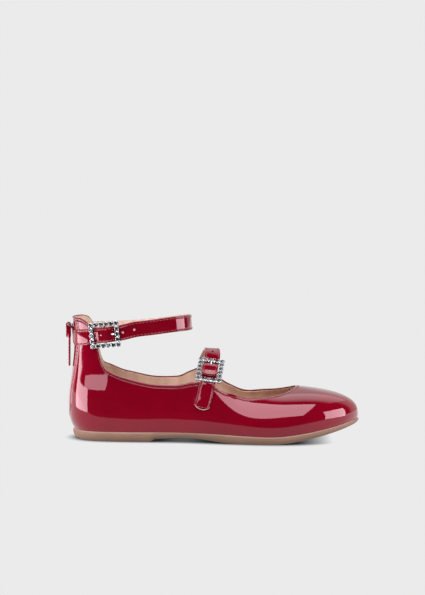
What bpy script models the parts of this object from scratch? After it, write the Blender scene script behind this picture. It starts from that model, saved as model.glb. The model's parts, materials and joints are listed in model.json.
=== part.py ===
"""A right-foot mary jane shoe: a low ballerina with an instep strap, a high back column with a zip, and
an ankle strap. Both straps close with a metal buckle set with round stones.

Metres, +Z up, toe towards +X, the foot's inner side towards +Y. The origin lies on the floor under the
middle of the heel. Run it with blender --background --python part.py, or from Blender's text editor.

The upper is a lofted wall. A ring of numbered sections runs round the shoe: section 0 is the middle of
the back, TOE_SECTION is the tip of the toe, and the numbers go on along the inner side back to 0. Each
section has a foot on the outsole, a crest above it, and a curve between them.
"""
import math

import bmesh
import bpy
import numpy as np
from mathutils import Matrix, Vector

# Driving sizes, in metres
SOLE_LENGTH = 0.2217
BALL_WIDTH = 0.0760
COLUMN_HEIGHT = 0.0970
UPPER_WALL = 0.0016
SOLE_EDGE = 0.0077
SOLE_LIP = 0.0007
HEEL_LIFT = 0.0024
ARCH_RISE = 0.0036
TOE_SPRING = 0.0128
INSOLE_THICKNESS = 0.0024
CLEARANCE = 0.0003
OVERLAY_GAP = 0.0006

# Straps and tabs
STRAP_WIDTH = 0.0120
STRAP_THICKNESS = 0.0018
TAB_THICKNESS = 0.0012
TAB_END_ROUND = 0.0036
STRAP_END_ROUND = 0.0012
HOLE_PITCH = 0.0088
HOLE_RADIUS = 0.0009
PRONG_SLOT_WIDTH = 0.0024

# Buckles: a frame with stones all round and a centre bar, measured between the middles of its rails
BUCKLE_ALONG = 0.0208
BUCKLE_ACROSS = 0.0166
RAIL_WIDTH = 0.0020
RAIL_THICKNESS = 0.0012
BAR_RADIUS = 0.0007
BAR_DROP = 0.0008
CUP_RADIUS = 0.0019
CUP_HEIGHT = 0.0014
STONE_RADIUS = 0.0016
STONE_HEIGHT = 0.0010
STONES_ALONG = 6
STONES_ACROSS = 5
PRONG_WIDTH = 0.0013
PRONG_THICKNESS = 0.0008

# Zip
ZIP_SLOT_WIDTH = 0.0062
ZIP_SLOT_BOTTOM = 0.0230
ZIP_SLOT_CORNER = 0.0006
ZIP_CHAIN_WIDTH = 0.0054
ZIP_CHAIN_DEPTH = 0.0003
ZIP_CHAIN_THICKNESS = 0.0012
ZIP_TAPE_WIDTH = 0.0150
ZIP_TAPE_THICKNESS = 0.0007
ZIP_TAPE_BOTTOM = 0.0180
ZIP_TOP = COLUMN_HEIGHT - 0.0060
SLIDER_TOP = ZIP_TOP - 0.0015
SLIDER_BOTTOM = SLIDER_TOP - 0.0080
SLIDER_WIDTH = 0.0066
SLIDER_THICKNESS = 0.0010
RING_RADIUS = 0.0005
PIN_REACH = 0.0046
PIN_HEIGHT = SLIDER_TOP - 0.0010
PULL_WIDTH = 0.0042
PULL_LOOP_THICKNESS = 0.0040
PULL_LOOP_LENGTH = 0.0105
PULL_TAIL_THICKNESS = 0.0016
PULL_LENGTH = 0.0325

# How finely the forms are cut, and the reach of their cuts
AROUND_UPPER = 86
UP_UPPER = 12
AROUND_SOLE = 76
STRIP_STEP = 0.0060
STRIP_TURN = 20.0
END_TURNS = (22.0, 45.0, 68.0, 90.0)
SLOT_DEPTH = 0.0160
PRONG_CUT = (0.12, 1.10)
PULL_TAPER = 0.85
BACK_SECTIONS = 8.0

TOE_SECTION = 14
RING_SECTIONS = 2 * TOE_SECTION

# Foot of each section: along is a share of SOLE_LENGTH, lateral and medial are shares of BALL_WIDTH on
# either side of the heel to toe line, and edge is the sole's edge thickness as a share of SOLE_EDGE.
#        along  lateral medial   edge
FOOT = [
    (0.0000, 0.000, 0.000, 1.00),
    (0.0114, 0.140, 0.140, 1.00),
    (0.0409, 0.253, 0.250, 1.00),
    (0.0910, 0.318, 0.312, 1.00),
    (0.1730, 0.346, 0.335, 1.00),
    (0.2730, 0.356, 0.330, 1.02),
    (0.3860, 0.380, 0.334, 1.04),
    (0.5000, 0.434, 0.388, 0.98),
    (0.6130, 0.487, 0.461, 0.86),
    (0.7170, 0.500, 0.500, 0.80),
    (0.8170, 0.447, 0.485, 0.74),
    (0.8990, 0.345, 0.412, 0.68),
    (0.9540, 0.220, 0.300, 0.62),
    (0.9880, 0.080, 0.165, 0.57),
    (1.0000, -0.035, 0.035, 0.55),
]

# Crest of each section: along is a share of SOLE_LENGTH, lateral and medial are shares of BALL_WIDTH, and
# height is a share of COLUMN_HEIGHT. Behind the ball it lies above the topline, and is cut away.
#        along  lateral medial  height
CREST = [
    (-0.0110, 0.000, 0.000, 1.000),
    (0.0010, 0.125, 0.125, 1.000),
    (0.0310, 0.210, 0.210, 1.000),
    (0.0700, 0.252, 0.252, 0.995),
    (0.1270, 0.270, 0.270, 0.950),
    (0.2270, 0.270, 0.270, 0.820),
    (0.3500, 0.285, 0.280, 0.690),
    (0.4650, 0.315, 0.310, 0.590),
    (0.5700, 0.345, 0.350, 0.395),
    (0.6470, 0.340, 0.362, 0.363),
    (0.7040, 0.290, 0.330, 0.374),
    (0.7450, 0.200, 0.250, 0.394),
    (0.7680, 0.110, 0.165, 0.413),
    (0.7790, 0.035, 0.097, 0.425),
    (0.7810, -0.030, 0.030, 0.428),
]

# How each section curves. low_out and high_out are shares of BALL_WIDTH, outwards from the foot and from
# the crest; low_up and high_down are shares of COLUMN_HEIGHT.
#      low_out low_up high_out high_down
CURVE = [
    (0.158, 0.186, -0.105, 0.360),
    (0.150, 0.186, -0.099, 0.350),
    (0.123, 0.170, -0.079, 0.340),
    (0.097, 0.138, -0.046, 0.310),
    (0.078, 0.144, -0.013, 0.268),
    (0.073, 0.152, 0.013, 0.206),
    (0.064, 0.145, 0.039, 0.144),
    (0.053, 0.130, 0.066, 0.113),
    (0.053, 0.134, 0.092, 0.082),
    (0.059, 0.134, 0.118, 0.062),
    (0.066, 0.144, 0.184, 0.046),
    (0.066, 0.154, 0.276, 0.041),
    (0.059, 0.161, 0.355, 0.038),
    (0.053, 0.164, 0.414, 0.034),
    (0.046, 0.166, 0.436, 0.030),
]

# Topline: the edge starts from the foot of section foot, ends over section head, and stands at rise, the
# share of the way from foot to crest on each side of the shoe.
#        foot   head  lateral medial
TOPLINE = [
    (0.00, 0.00, 0.974, 0.974),
    (1.00, 1.00, 0.974, 0.974),
    (1.60, 1.60, 0.972, 0.974),
    (2.20, 2.28, 0.950, 0.960),
    (2.70, 2.85, 0.900, 0.885),
    (3.00, 3.10, 0.840, 0.770),
    (3.30, 3.22, 0.740, 0.675),
    (3.60, 3.40, 0.640, 0.610),
    (4.00, 3.75, 0.585, 0.590),
    (4.50, 4.40, 0.555, 0.560),
    (5.00, 5.00, 0.550, 0.560),
    (6.00, 6.00, 0.602, 0.620),
    (6.50, 6.50, 0.675, 0.735),
    (7.00, 7.00, 0.735, 0.860),
    (7.50, 7.50, 0.775, 0.860),
    (8.00, 8.00, 0.945, 0.955),
    (9.00, 9.00, 1.000, 1.000),
    (14.0, 14.0, 1.000, 1.000),
]

# How the upper's points are spread from heel to toe: share of the points, and section reached
UPPER_SPACING = [
    (0.00, 0.0),
    (0.16, 2.2),
    (0.38, 4.0),
    (1.00, 14.0),
]

# The outsole's side from top to bottom: inset from its outline, and height as a share of its edge
SOLE_SIDE = [
    (0.0009, 1.00),
    (0.0000, 0.86),
    (0.0002, 0.58),
    (0.0011, 0.28),
    (0.0022, 0.08),
    (0.0034, 0.00),
]

# Shares of SOLE_LENGTH that shape the outsole's underside
HEEL_REST = 0.150
HEEL_BREAST = 0.268
BREAST_LENGTH = 0.018
ARCH_TOP = 0.390
BALL_REST_BACK = 0.585
BALL_REST_FRONT = 0.700
TOE_SPRING_POWER = 1.42

# Rows of a strap or a tab that lie on the upper: section, and height as a share of COLUMN_HEIGHT
ANKLE_STRAP_ROOT = [(27.45, 0.832), (26.90, 0.836), (26.20, 0.841), (25.50, 0.847)]
ANKLE_TAB_ROOT = [(0.55, 0.812), (1.10, 0.816), (1.80, 0.821), (2.45, 0.829)]
INSTEP_STRAP_ROOT = [(21.41, 0.250), (21.29, 0.330), (21.18, 0.410), (21.07, 0.490)]
INSTEP_TAB_ROOT = [(6.66, 0.272), (6.77, 0.335), (6.87, 0.390), (6.95, 0.440)]

# Free rows of a strap: shares of SOLE_LENGTH, BALL_WIDTH and COLUMN_HEIGHT
ANKLE_STRAP_LOOP = [
    (0.159, 0.305, 0.859),
    (0.250, 0.331, 0.872),
    (0.327, 0.282, 0.897),
    (0.386, 0.145, 0.925),
    (0.405, 0.000, 0.937),
    (0.387, -0.145, 0.941),
    (0.332, -0.263, 0.934),
    (0.265, -0.316, 0.916),
    (0.212, -0.322, 0.899),
]
INSTEP_STRAP_LOOP = [
    (0.4655, 0.320, 0.592),
    (0.4745, 0.250, 0.653),
    (0.4810, 0.132, 0.694),
    (0.4845, 0.013, 0.704),
    (0.4860, -0.073, 0.674),
]

# The middle about which each loop faces outwards, in the same shares
ANKLE_MIDDLE = (0.230, 0.000, 0.905)
INSTEP_MIDDLE = (0.478, 0.000, 0.380)

# Where each buckle sits: its middle, the way its strap comes in, and the way across, in the same shares
ANKLE_BUCKLE_MIDDLE = (0.1112, -0.316, 0.856)
ANKLE_BUCKLE_WAY = (0.0908, -0.076, 0.0275)
ANKLE_BUCKLE_SIDE = (0.0000, 0.000, 1.000)
INSTEP_BUCKLE_MIDDLE = (0.4775, -0.298, 0.571)
INSTEP_BUCKLE_WAY = (0.0113, 0.213, 0.135)
INSTEP_BUCKLE_SIDE = (-0.4500, 0.000, 0.080)

# How a strap's underside threads a buckle, from its far side to its tip: share of BUCKLE_ALONG from the
# bar, and share of STRAP_THICKNESS above the frame
STRAP_THREAD = [
    (0.500, -1.62),
    (0.400, -1.45),
    (0.300, -0.72),
    (0.225, 0.20),
    (0.140, 0.86),
    (0.000, 0.96),
    (-0.150, 0.84),
    (-0.285, 0.60),
]

# How a tab's underside meets the bar and folds round it: shares of BUCKLE_ALONG and TAB_THICKNESS, and
# the way it faces there
TAB_THREAD = [
    (-0.500, -1.86, 0.0, 1.0),
    (-0.300, -1.35, -0.2, 1.0),
    (-0.120, -0.30, -0.2, 1.0),
]

UP = np.array((0.0, 0.0, 1.0))


def clear_scene():
    for obj in list(bpy.data.objects):
        bpy.data.objects.remove(obj)


def material(name, look):
    """Material of one piece from its colour, roughness and metallic share."""
    colour, roughness, metallic = look
    made = bpy.data.materials.new(name)
    made.use_nodes = True
    shader = made.node_tree.nodes["Principled BSDF"]
    shader.inputs["Base Color"].default_value = (*colour, 1.0)
    shader.inputs["Roughness"].default_value = roughness
    shader.inputs["Metallic"].default_value = metallic
    return made


def mesh_object(name, points, faces, look):
    """One named object from points and faces, with its faces turned outwards and smooth sides."""
    mesh = bpy.data.meshes.new(name)
    mesh.from_pydata([tuple(p) for p in points], [], faces)
    work = bmesh.new()
    work.from_mesh(mesh)
    bmesh.ops.recalc_face_normals(work, faces=work.faces)
    work.to_mesh(mesh)
    work.free()
    mesh.materials.append(material(name + "_surface", look))
    mesh.shade_smooth()
    mesh.set_sharp_from_angle(angle=math.radians(40))
    made = bpy.data.objects.new(name, mesh)
    bpy.context.scene.collection.objects.link(made)
    return made


def ring_spline(values):
    """A smooth closed curve through one value for each section of the ring, as a function of section."""
    count = len(values)
    values = np.asarray(values, float)
    system = 4.0 * np.eye(count) + np.roll(np.eye(count), 1, 0) + np.roll(np.eye(count), -1, 0)
    bends = np.linalg.solve(system, 6.0 * (np.roll(values, -1, 0) - 2.0 * values + np.roll(values, 1, 0)))

    def at(section):
        section = np.asarray(section, float) % count
        before = np.floor(section).astype(int) % count
        after = (before + 1) % count
        part = (section - np.floor(section))[..., None] if values.ndim > 1 else section - np.floor(section)
        rest = 1.0 - part
        straight = rest * values[before] + part * values[after]
        curved = (rest**3 - rest) * bends[before] + (part**3 - part) * bends[after]
        return straight + curved / 6.0

    return at


def round_the_ring(lateral_rows, medial_rows):
    """Rows for the outer side, heel to toe, then those for the inner side, toe to heel."""
    return np.array(lateral_rows + medial_rows[-2:0:-1])


def sole_bottom(along):
    """Height of the outsole's underside at a share of SOLE_LENGTH."""
    if along < HEEL_BREAST:
        return 0.0
    if along < HEEL_BREAST + BREAST_LENGTH:
        return HEEL_LIFT * (along - HEEL_BREAST) / BREAST_LENGTH
    if along < ARCH_TOP:
        part = (along - HEEL_BREAST - BREAST_LENGTH) / (ARCH_TOP - HEEL_BREAST - BREAST_LENGTH)
        return HEEL_LIFT + (ARCH_RISE - HEEL_LIFT) * math.sin(part * math.pi / 2)
    if along < BALL_REST_BACK:
        part = (along - ARCH_TOP) / (BALL_REST_BACK - ARCH_TOP)
        return ARCH_RISE * (1 + math.cos(part * math.pi)) / 2
    if along < BALL_REST_FRONT:
        return 0.0
    return TOE_SPRING * ((along - BALL_REST_FRONT) / (1 - BALL_REST_FRONT)) ** TOE_SPRING_POWER


def seat_height(along, edge):
    """Height of the outsole's upper face, from its edge share and the toe spring under it."""
    spring = sole_bottom(along) if along > BALL_REST_FRONT else 0.0
    return edge * SOLE_EDGE + spring


def x_at(along):
    return (along - HEEL_REST) * SOLE_LENGTH


def foot_ring():
    def row(side, width, along, edge):
        return (x_at(along), side * width * BALL_WIDTH, seat_height(along, edge))

    lateral = [row(-1, wide, along, edge) for along, wide, _, edge in FOOT]
    medial = [row(1, wide, along, edge) for along, _, wide, edge in FOOT]
    return ring_spline(round_the_ring(lateral, medial))


def crest_ring():
    lateral = [(x_at(a), -wide * BALL_WIDTH, high * COLUMN_HEIGHT) for a, wide, _, high in CREST]
    medial = [(x_at(a), wide * BALL_WIDTH, high * COLUMN_HEIGHT) for a, _, wide, high in CREST]
    return ring_spline(round_the_ring(lateral, medial))


def curve_ring():
    rows = [
        (low_out * BALL_WIDTH, low_up * COLUMN_HEIGHT, high_out * BALL_WIDTH, high_down * COLUMN_HEIGHT)
        for low_out, low_up, high_out, high_down in CURVE
    ]
    return ring_spline(round_the_ring(rows, rows))


foot_at = foot_ring()
crest_at = crest_ring()
curve_at = curve_ring()


def outward_at(section):
    """Level unit vector that points away from the shoe at the foot of a section."""
    step = 0.02
    ahead = foot_at(np.asarray(section) + step) - foot_at(np.asarray(section) - step)
    out = np.stack([ahead[..., 1], -ahead[..., 0], np.zeros_like(ahead[..., 0])], -1)
    return out / np.linalg.norm(out, axis=-1, keepdims=True)


def upper_face(section, rise):
    """Point on the upper's outer face, at a share rise of the way from foot to crest."""
    section, rise = np.broadcast_arrays(np.asarray(section, float), np.asarray(rise, float))
    foot, crest, out = foot_at(section), crest_at(section), outward_at(section)
    low_out, low_up, high_out, high_down = np.moveaxis(curve_at(section), -1, 0)[..., None]
    low = foot + out * low_out + UP * low_up
    high = crest + out * high_out - UP * high_down
    part = rise[..., None]
    rest = 1.0 - part
    return rest**3 * foot + 3 * rest**2 * part * low + 3 * rest * part**2 * high + part**3 * crest


def upper_normal(section, rise):
    """Unit vector out of the upper's outer face."""
    step = 0.01
    round_way = upper_face(np.asarray(section) + step, rise) - upper_face(np.asarray(section) - step, rise)
    up_way = upper_face(section, np.asarray(rise) + step) - upper_face(section, np.asarray(rise) - step)
    out = np.cross(round_way, up_way)
    return out / np.linalg.norm(out, axis=-1, keepdims=True)


def gentle(knots, values, where):
    """Smooth interpolation that never overshoots the values it passes through."""
    knots, values = np.asarray(knots, float), np.asarray(values, float)
    gaps = np.diff(knots)
    slopes = np.diff(values) / gaps
    ends = np.zeros_like(values)
    same_way = slopes[1:] * slopes[:-1] > 0
    mean = 2 * slopes[1:] * slopes[:-1] / np.where(same_way, slopes[1:] + slopes[:-1], 1.0)
    ends[1:-1] = np.where(same_way, mean, 0.0)
    index = np.clip(np.searchsorted(knots, where, side="right") - 1, 0, len(gaps) - 1)
    part = (where - knots[index]) / gaps[index]
    rest = 1.0 - part
    return (
        values[index] * (1 + 2 * part) * rest**2
        + ends[index] * gaps[index] * part * rest**2
        + values[index + 1] * part**2 * (3 - 2 * part)
        - ends[index + 1] * gaps[index] * part**2 * rest
    )


def topline_at(section):
    """Section and rise of the topline above the foot of a section."""
    foot, head, lateral, medial = np.array(TOPLINE).T
    section = np.asarray(section, float) % RING_SECTIONS
    inner = section > TOE_SECTION
    from_heel = np.where(inner, RING_SECTIONS - section, section)
    over = gentle(foot, head, from_heel)
    rise = np.where(inner, gentle(foot, medial, from_heel), gentle(foot, lateral, from_heel))
    return np.where(inner, RING_SECTIONS - over, over), rise


def upper_sections():
    """Sections for the upper's wall, closer together where the topline climbs the column."""
    shares, sections = np.array(UPPER_SPACING).T
    half = np.interp(np.linspace(0, 1, AROUND_UPPER // 2 + 1), shares, sections)
    return np.concatenate([half, RING_SECTIONS - half[-2:0:-1]])


def upper_grid(inset):
    """Points of the upper's wall at a depth inset, an array over sections and heights."""
    sections = upper_sections()
    heads, rises = topline_at(sections)
    part = np.linspace(0, 1, UP_UPPER) ** 1.1
    turn = (heads - sections + TOE_SECTION) % RING_SECTIONS - TOE_SECTION
    across = sections[:, None] + turn[:, None] * part[None, :]
    up = rises[:, None] * part[None, :]
    normal = upper_normal(across, up)
    normal[:, 0, 2] = 0.0
    points = upper_face(across, up) - inset * normal
    points[:, 0, 2] = foot_at(sections)[:, 2] + CLEARANCE
    return points


def grid_faces(rows, columns, start, closed):
    """Quads over a grid whose rows may close on themselves."""
    faces = []
    for i in range(rows if closed else rows - 1):
        after = (i + 1) % rows
        for j in range(columns - 1):
            faces.append(tuple(start + k for k in (i * columns + j, after * columns + j,
                                                   after * columns + j + 1, i * columns + j + 1)))
    return faces


def sole_outline(sections, offset):
    """The sole's outline at an offset outwards from the feet of the sections."""
    return foot_at(sections) + offset * outward_at(sections)


def sole_sections():
    """Sections for the sole, the same on both sides, with one at each end of the heel breast."""
    half = np.linspace(0, TOE_SECTION, AROUND_SOLE // 2 + 1)
    along = ring_spline(round_the_ring([row[0] for row in FOOT], [row[0] for row in FOOT]))
    for share in (HEEL_BREAST, HEEL_BREAST + BREAST_LENGTH, BALL_REST_BACK, BALL_REST_FRONT):
        low, high = 0.0, float(TOE_SECTION)
        for _ in range(40):
            middle = (low + high) / 2
            low, high = (middle, high) if along(middle) < share else (low, middle)
        half[np.argmin(abs(half - low))] = low
    return np.concatenate([half, RING_SECTIONS - half[-2:0:-1]])


def stacked_slab(name, rings, look):
    """A solid from rings of points, top ring first, closed across by strips between its two sides."""
    count = len(rings[0])
    faces = []
    for level in range(len(rings) - 1):
        for i in range(count):
            after = (i + 1) % count
            faces.append(tuple(k + level * count for k in (i, after, after + count, i + count)))
    for start in (0, (len(rings) - 1) * count):
        faces.append((start, start + 1, start + count - 1))
        for i in range(1, count // 2 - 1):
            faces.append((start + i, start + i + 1, start + count - i - 1, start + count - i))
        middle = count // 2
        faces.append((start + middle - 1, start + middle, start + middle + 1))
    return mesh_object(name, np.concatenate(rings), faces, look)


def patch(name, sections, rises, depths, look):
    """A thin solid that follows the upper: grids of sections and rises, and its two depths below it."""
    normal = upper_normal(sections, rises)
    layers = [upper_face(sections, rises) - depth * normal for depth in depths]
    rows, columns = sections.shape
    count = rows * columns
    faces = grid_faces(rows, columns, 0, False) + grid_faces(rows, columns, count, False)
    edge = [(i, 0) for i in range(rows)] + [(rows - 1, j) for j in range(1, columns)]
    edge += [(i, columns - 1) for i in range(rows - 2, -1, -1)] + [(0, j) for j in range(columns - 2, 0, -1)]
    for here, there in zip(edge, edge[1:] + edge[:1]):
        a, b = here[0] * columns + here[1], there[0] * columns + there[1]
        faces.append((a, b, b + count, a + count))
    points = np.concatenate([layer.reshape(-1, 3) for layer in layers])
    return mesh_object(name, points, faces, look)


def rise_for(section, height):
    """Rise at which the upper stands at a height."""
    low, high = 0.0, 1.0
    for _ in range(30):
        middle = (low + high) / 2
        low, high = (middle, high) if upper_face(section, middle)[2] < height else (low, middle)
    return (low + high) / 2


def section_for(across, rise):
    """Section near the middle of the back whose point at a rise lies at a distance across."""
    section = across / BALL_WIDTH * BACK_SECTIONS
    for _ in range(6):
        section = section * across / (-upper_face(section, rise)[1]) if abs(across) > 0 else 0.0
    return section


def back_patch(name, width, bottom, top, depths, look, rows=9, columns=5):
    """A strip of one width up the middle of the back, from one height to another."""
    sections, rises = np.zeros((rows, columns)), np.zeros((rows, columns))
    for i, height in enumerate(np.linspace(bottom, top, rows)):
        rise = rise_for(0.0, height)
        for j, across in enumerate(np.linspace(-width / 2, width / 2, columns)):
            sections[i, j] = section_for(across, rise)
            rises[i, j] = rise
    return patch(name, sections, rises, depths, look)


def place(row):
    """Point from shares of SOLE_LENGTH from the heel's back, BALL_WIDTH and COLUMN_HEIGHT."""
    along, across, height = row
    return np.array((x_at(along), across * BALL_WIDTH, height * COLUMN_HEIGHT))


def on_upper(row, gap):
    """Point and outward direction a gap above the upper, from a section and a share of COLUMN_HEIGHT."""
    section, height = row
    rise = rise_for(section, height * COLUMN_HEIGHT)
    normal = upper_normal(section, rise)
    return np.concatenate([upper_face(section, rise) + gap * normal, normal])


def facing_from(middle, row):
    """Free point of a strap, and the direction away from the middle of its loop."""
    point = place(row)
    away = point - place(middle)
    return np.concatenate([point, away / np.linalg.norm(away)])


def buckle_frame(middle, way, side):
    """Matrix of a buckle: its first axis points along the strap, its third out of the shoe."""
    sizes = (SOLE_LENGTH, BALL_WIDTH, COLUMN_HEIGHT)
    along = Vector([share * size for share, size in zip(way, sizes)]).normalized()
    side = Vector([share * size for share, size in zip(side, sizes)])
    across = (side - along * side.dot(along)).normalized()
    out = along.cross(across)
    turn = Matrix((along, across, out)).transposed().to_4x4()
    return Matrix.Translation(Vector(place(middle))) @ turn


def in_buckle(frame, along, out, face=(0.0, 1.0)):
    """Point and direction in a buckle's middle plane, from distances along and out of it."""
    point = frame @ Vector((along, 0.0, out))
    way = frame.to_3x3() @ Vector((face[0], 0.0, face[1]))
    return np.array([*point, *way])


def through(rows):
    """Smooth curve through rows of numbers whose first three are a point, as a function of length."""
    rows = np.asarray(rows, float)
    gaps = np.linalg.norm(np.diff(rows[:, :3], axis=0), axis=1)
    knots = np.concatenate([[0.0], np.cumsum(gaps)])
    system = np.eye(len(rows))
    target = np.zeros_like(rows)
    for i in range(1, len(rows) - 1):
        system[i, i - 1:i + 2] = gaps[i - 1], 2 * (gaps[i - 1] + gaps[i]), gaps[i]
        target[i] = 6 * ((rows[i + 1] - rows[i]) / gaps[i] - (rows[i] - rows[i - 1]) / gaps[i - 1])
    bends = np.linalg.solve(system, target)

    def at(where):
        index = np.clip(np.searchsorted(knots, where, side="right") - 1, 0, len(gaps) - 1)
        gap = gaps[index][:, None]
        part = (np.asarray(where) - knots[index])[:, None] / gap
        rest = 1.0 - part
        curved = (rest**3 - rest) * bends[index] + (part**3 - part) * bends[index + 1]
        return rest * rows[index] + part * rows[index + 1] + curved * gap**2 / 6.0

    return at, knots[-1]


def stations(rows, long_step, turn_step):
    """Points, directions along and directions out, closer together where the curve turns."""
    at, length = through(rows)
    fine = np.linspace(0, length, 1200)
    line = at(fine)
    way = np.gradient(line[:, :3], axis=0)
    way /= np.linalg.norm(way, axis=1, keepdims=True)
    steps = np.linalg.norm(np.diff(line[:, :3], axis=0), axis=1)
    turns = np.arccos(np.clip((way[1:] * way[:-1]).sum(1), -1, 1))
    effort = np.concatenate([[0.0], np.cumsum(steps / long_step + turns / turn_step)])
    count = max(int(round(effort[-1])), 4)
    where = np.interp(np.linspace(0, effort[-1], count + 1), effort, fine)
    return where, length


def strip_frame(rows, where):
    """Points, directions across and directions out of a strip at lengths along it."""
    at, _ = through(rows)
    step = 1e-5
    line = at(where)
    way = at(where + step)[:, :3] - at(where - step)[:, :3]
    way /= np.linalg.norm(way, axis=1, keepdims=True)
    out = line[:, 3:] - way * (way * line[:, 3:]).sum(1, keepdims=True)
    out /= np.linalg.norm(out, axis=1, keepdims=True)
    return line[:, :3], np.cross(out, way), out


def round_end(distance, reach):
    """Share of a strip's width left at a distance from an end that is rounded over a reach."""
    left = 1.0 - np.clip(distance / reach, 0.03, 1.0)
    return np.sqrt(1.0 - left**2)


# Corners of a strip's cross-section: share of its half width, and share of its thickness
STRIP_CORNERS = [
    (0.94, 0.0),
    (1.00, 0.3),
    (1.00, 0.7),
    (0.94, 1.0),
    (-0.94, 1.0),
    (-1.00, 0.7),
    (-1.00, 0.3),
    (-0.94, 0.0),
]


def strip(name, rows, thickness, ends, look):
    """A band of STRAP_WIDTH whose underside follows rows of points and outward directions."""
    where, length = stations(rows, STRIP_STEP, math.radians(STRIP_TURN))
    for reach, near in zip(ends, (0.0, length)):
        curve = reach * (1 - np.cos(np.radians(END_TURNS)))
        kept = (abs(where - near) > reach * 1.15) | (abs(where - near) < 1e-9)
        where = np.concatenate([where[kept], abs(near - curve)])
    where = np.unique(np.round(where, 6))
    where = where[(where >= 0) & (where <= length)]
    points, across, out = strip_frame(rows, where)
    half = STRAP_WIDTH / 2 * round_end(where, ends[0]) * round_end(length - where, ends[1])
    rings = [
        points + across * (half * side)[:, None] + out * thickness * height
        for side, height in STRIP_CORNERS
    ]
    ring_points = np.stack(rings, 1)
    rows_count, columns = ring_points.shape[:2]
    faces = []
    for i in range(rows_count - 1):
        for j in range(columns):
            after = (j + 1) % columns
            a, b = i * columns, (i + 1) * columns
            faces.append((a + j, a + after, b + after, b + j))
    faces.append(tuple(range(columns)))
    faces.append(tuple(range((rows_count - 1) * columns, rows_count * columns)))
    return mesh_object(name, ring_points.reshape(-1, 3), faces, look)


def tube(name, points, sides, half_width, half_height, across, look):
    """A rod of oval section along a path in one plane, whose direction across is fixed."""
    points = np.asarray(points, float)
    across = np.asarray(across, float)
    way = np.gradient(points, axis=0)
    way /= np.linalg.norm(way, axis=1, keepdims=True)
    out = np.cross(way, across)
    turns = np.arange(sides) * 2 * math.pi / sides + math.pi / sides
    ring = [points + across * half_width * math.cos(t) + out * half_height * math.sin(t) for t in turns]
    ring_points = np.stack(ring, 1)
    faces = []
    for i in range(len(points) - 1):
        for j in range(sides):
            after = (j + 1) % sides
            faces.append((i * sides + j, i * sides + after, (i + 1) * sides + after, (i + 1) * sides + j))
    faces.append(tuple(range(sides)))
    faces.append(tuple(range((len(points) - 1) * sides, len(points) * sides)))
    return mesh_object(name, ring_points.reshape(-1, 3), faces, look)


def prism(name, outline, half_width, look):
    """A solid with an outline of (x, z) points and a width each way along y."""
    count = len(outline)
    points = [(x, side * half_width, z) for side in (-1, 1) for x, z in outline]
    faces = [(i, (i + 1) % count, (i + 1) % count + count, i + count) for i in range(count)]
    faces += [tuple(range(count)), tuple(range(count, 2 * count))]
    return mesh_object(name, points, faces, look)


def combine(target, tool, operation):
    """Cut the tool out of the target, or join it on, and take the tool away."""
    modifier = target.modifiers.new("combine", "BOOLEAN")
    modifier.operation = operation
    modifier.solver = "EXACT"
    modifier.object = tool
    bpy.context.view_layer.update()
    whole = target.evaluated_get(bpy.context.evaluated_depsgraph_get())
    shape = bpy.data.meshes.new_from_object(whole)
    target.modifiers.clear()
    target.data = shape
    shape.shade_smooth()
    shape.set_sharp_from_angle(angle=math.radians(40))
    bpy.data.objects.remove(tool)


def drill(target, rows, distances, radius):
    """Round holes straight through a strip at lengths along it."""
    points, across, out = strip_frame(rows, np.array(distances))
    for point, side, way in zip(points, across, out):
        ends = [point - way * STRAP_THICKNESS, point + way * 2 * STRAP_THICKNESS]
        tool = tube("hole", ends, 10, radius, radius, side, METAL)
        combine(target, tool, "DIFFERENCE")


PATENT = ((0.330, 0.004, 0.016), 0.08, 0.0)
RUBBER = ((0.300, 0.190, 0.125), 0.60, 0.0)
LINING = ((0.480, 0.330, 0.230), 0.60, 0.0)
TEXTILE = ((0.240, 0.006, 0.018), 0.70, 0.0)
METAL = ((0.620, 0.620, 0.620), 0.22, 1.0)
STONE = ((0.420, 0.520, 0.560), 0.05, 0.0)


def build_upper():
    outer, inner = upper_grid(0.0), upper_grid(UPPER_WALL)
    rows, columns = outer.shape[:2]
    count = rows * columns
    faces = grid_faces(rows, columns, 0, True) + grid_faces(rows, columns, count, True)
    for i in range(rows):
        after = (i + 1) % rows
        for j in (0, columns - 1):
            here, there = i * columns + j, after * columns + j
            faces.append((here, there, there + count, here + count))
    points = np.concatenate([outer.reshape(-1, 3), inner.reshape(-1, 3)])
    upper = mesh_object("upper", points, faces, PATENT)
    half, top = ZIP_SLOT_WIDTH / 2, COLUMN_HEIGHT * 1.1
    corner = half - ZIP_SLOT_CORNER
    outline = [(-half, ZIP_SLOT_BOTTOM + ZIP_SLOT_CORNER), (-corner, ZIP_SLOT_BOTTOM)]
    outline += [(corner, ZIP_SLOT_BOTTOM), (half, ZIP_SLOT_BOTTOM + ZIP_SLOT_CORNER)]
    outline += [(half, top), (-half, top)]
    slot = prism("slot", outline, SLOT_DEPTH / 2, PATENT)
    slot.matrix_world = Matrix.Translation((x_at(0.0), 0.0, 0.0)) @ Matrix.Rotation(math.pi / 2, 4, "Z")
    combine(upper, slot, "DIFFERENCE")
    return upper


def build_outsole():
    sections = sole_sections()
    top = foot_at(sections)[:, 2]
    along = np.clip(foot_at(sections)[:, 0] / SOLE_LENGTH + HEEL_REST, 0, 1)
    bottom = np.array([sole_bottom(a) for a in along])
    rings = []
    for inset, share in SOLE_SIDE:
        ring = sole_outline(sections, SOLE_LIP - inset)
        ring[:, 2] = bottom + share * (top - bottom)
        rings.append(ring)
    return stacked_slab("outsole", rings, RUBBER)


def build_insole():
    sections = sole_sections()
    rings = []
    for level in (1.0, 0.0):
        ring = sole_outline(sections, -(UPPER_WALL + 3 * CLEARANCE))
        ring[:, 2] += CLEARANCE + level * INSOLE_THICKNESS
        rings.append(ring)
    return stacked_slab("insole", rings, LINING)


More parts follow.
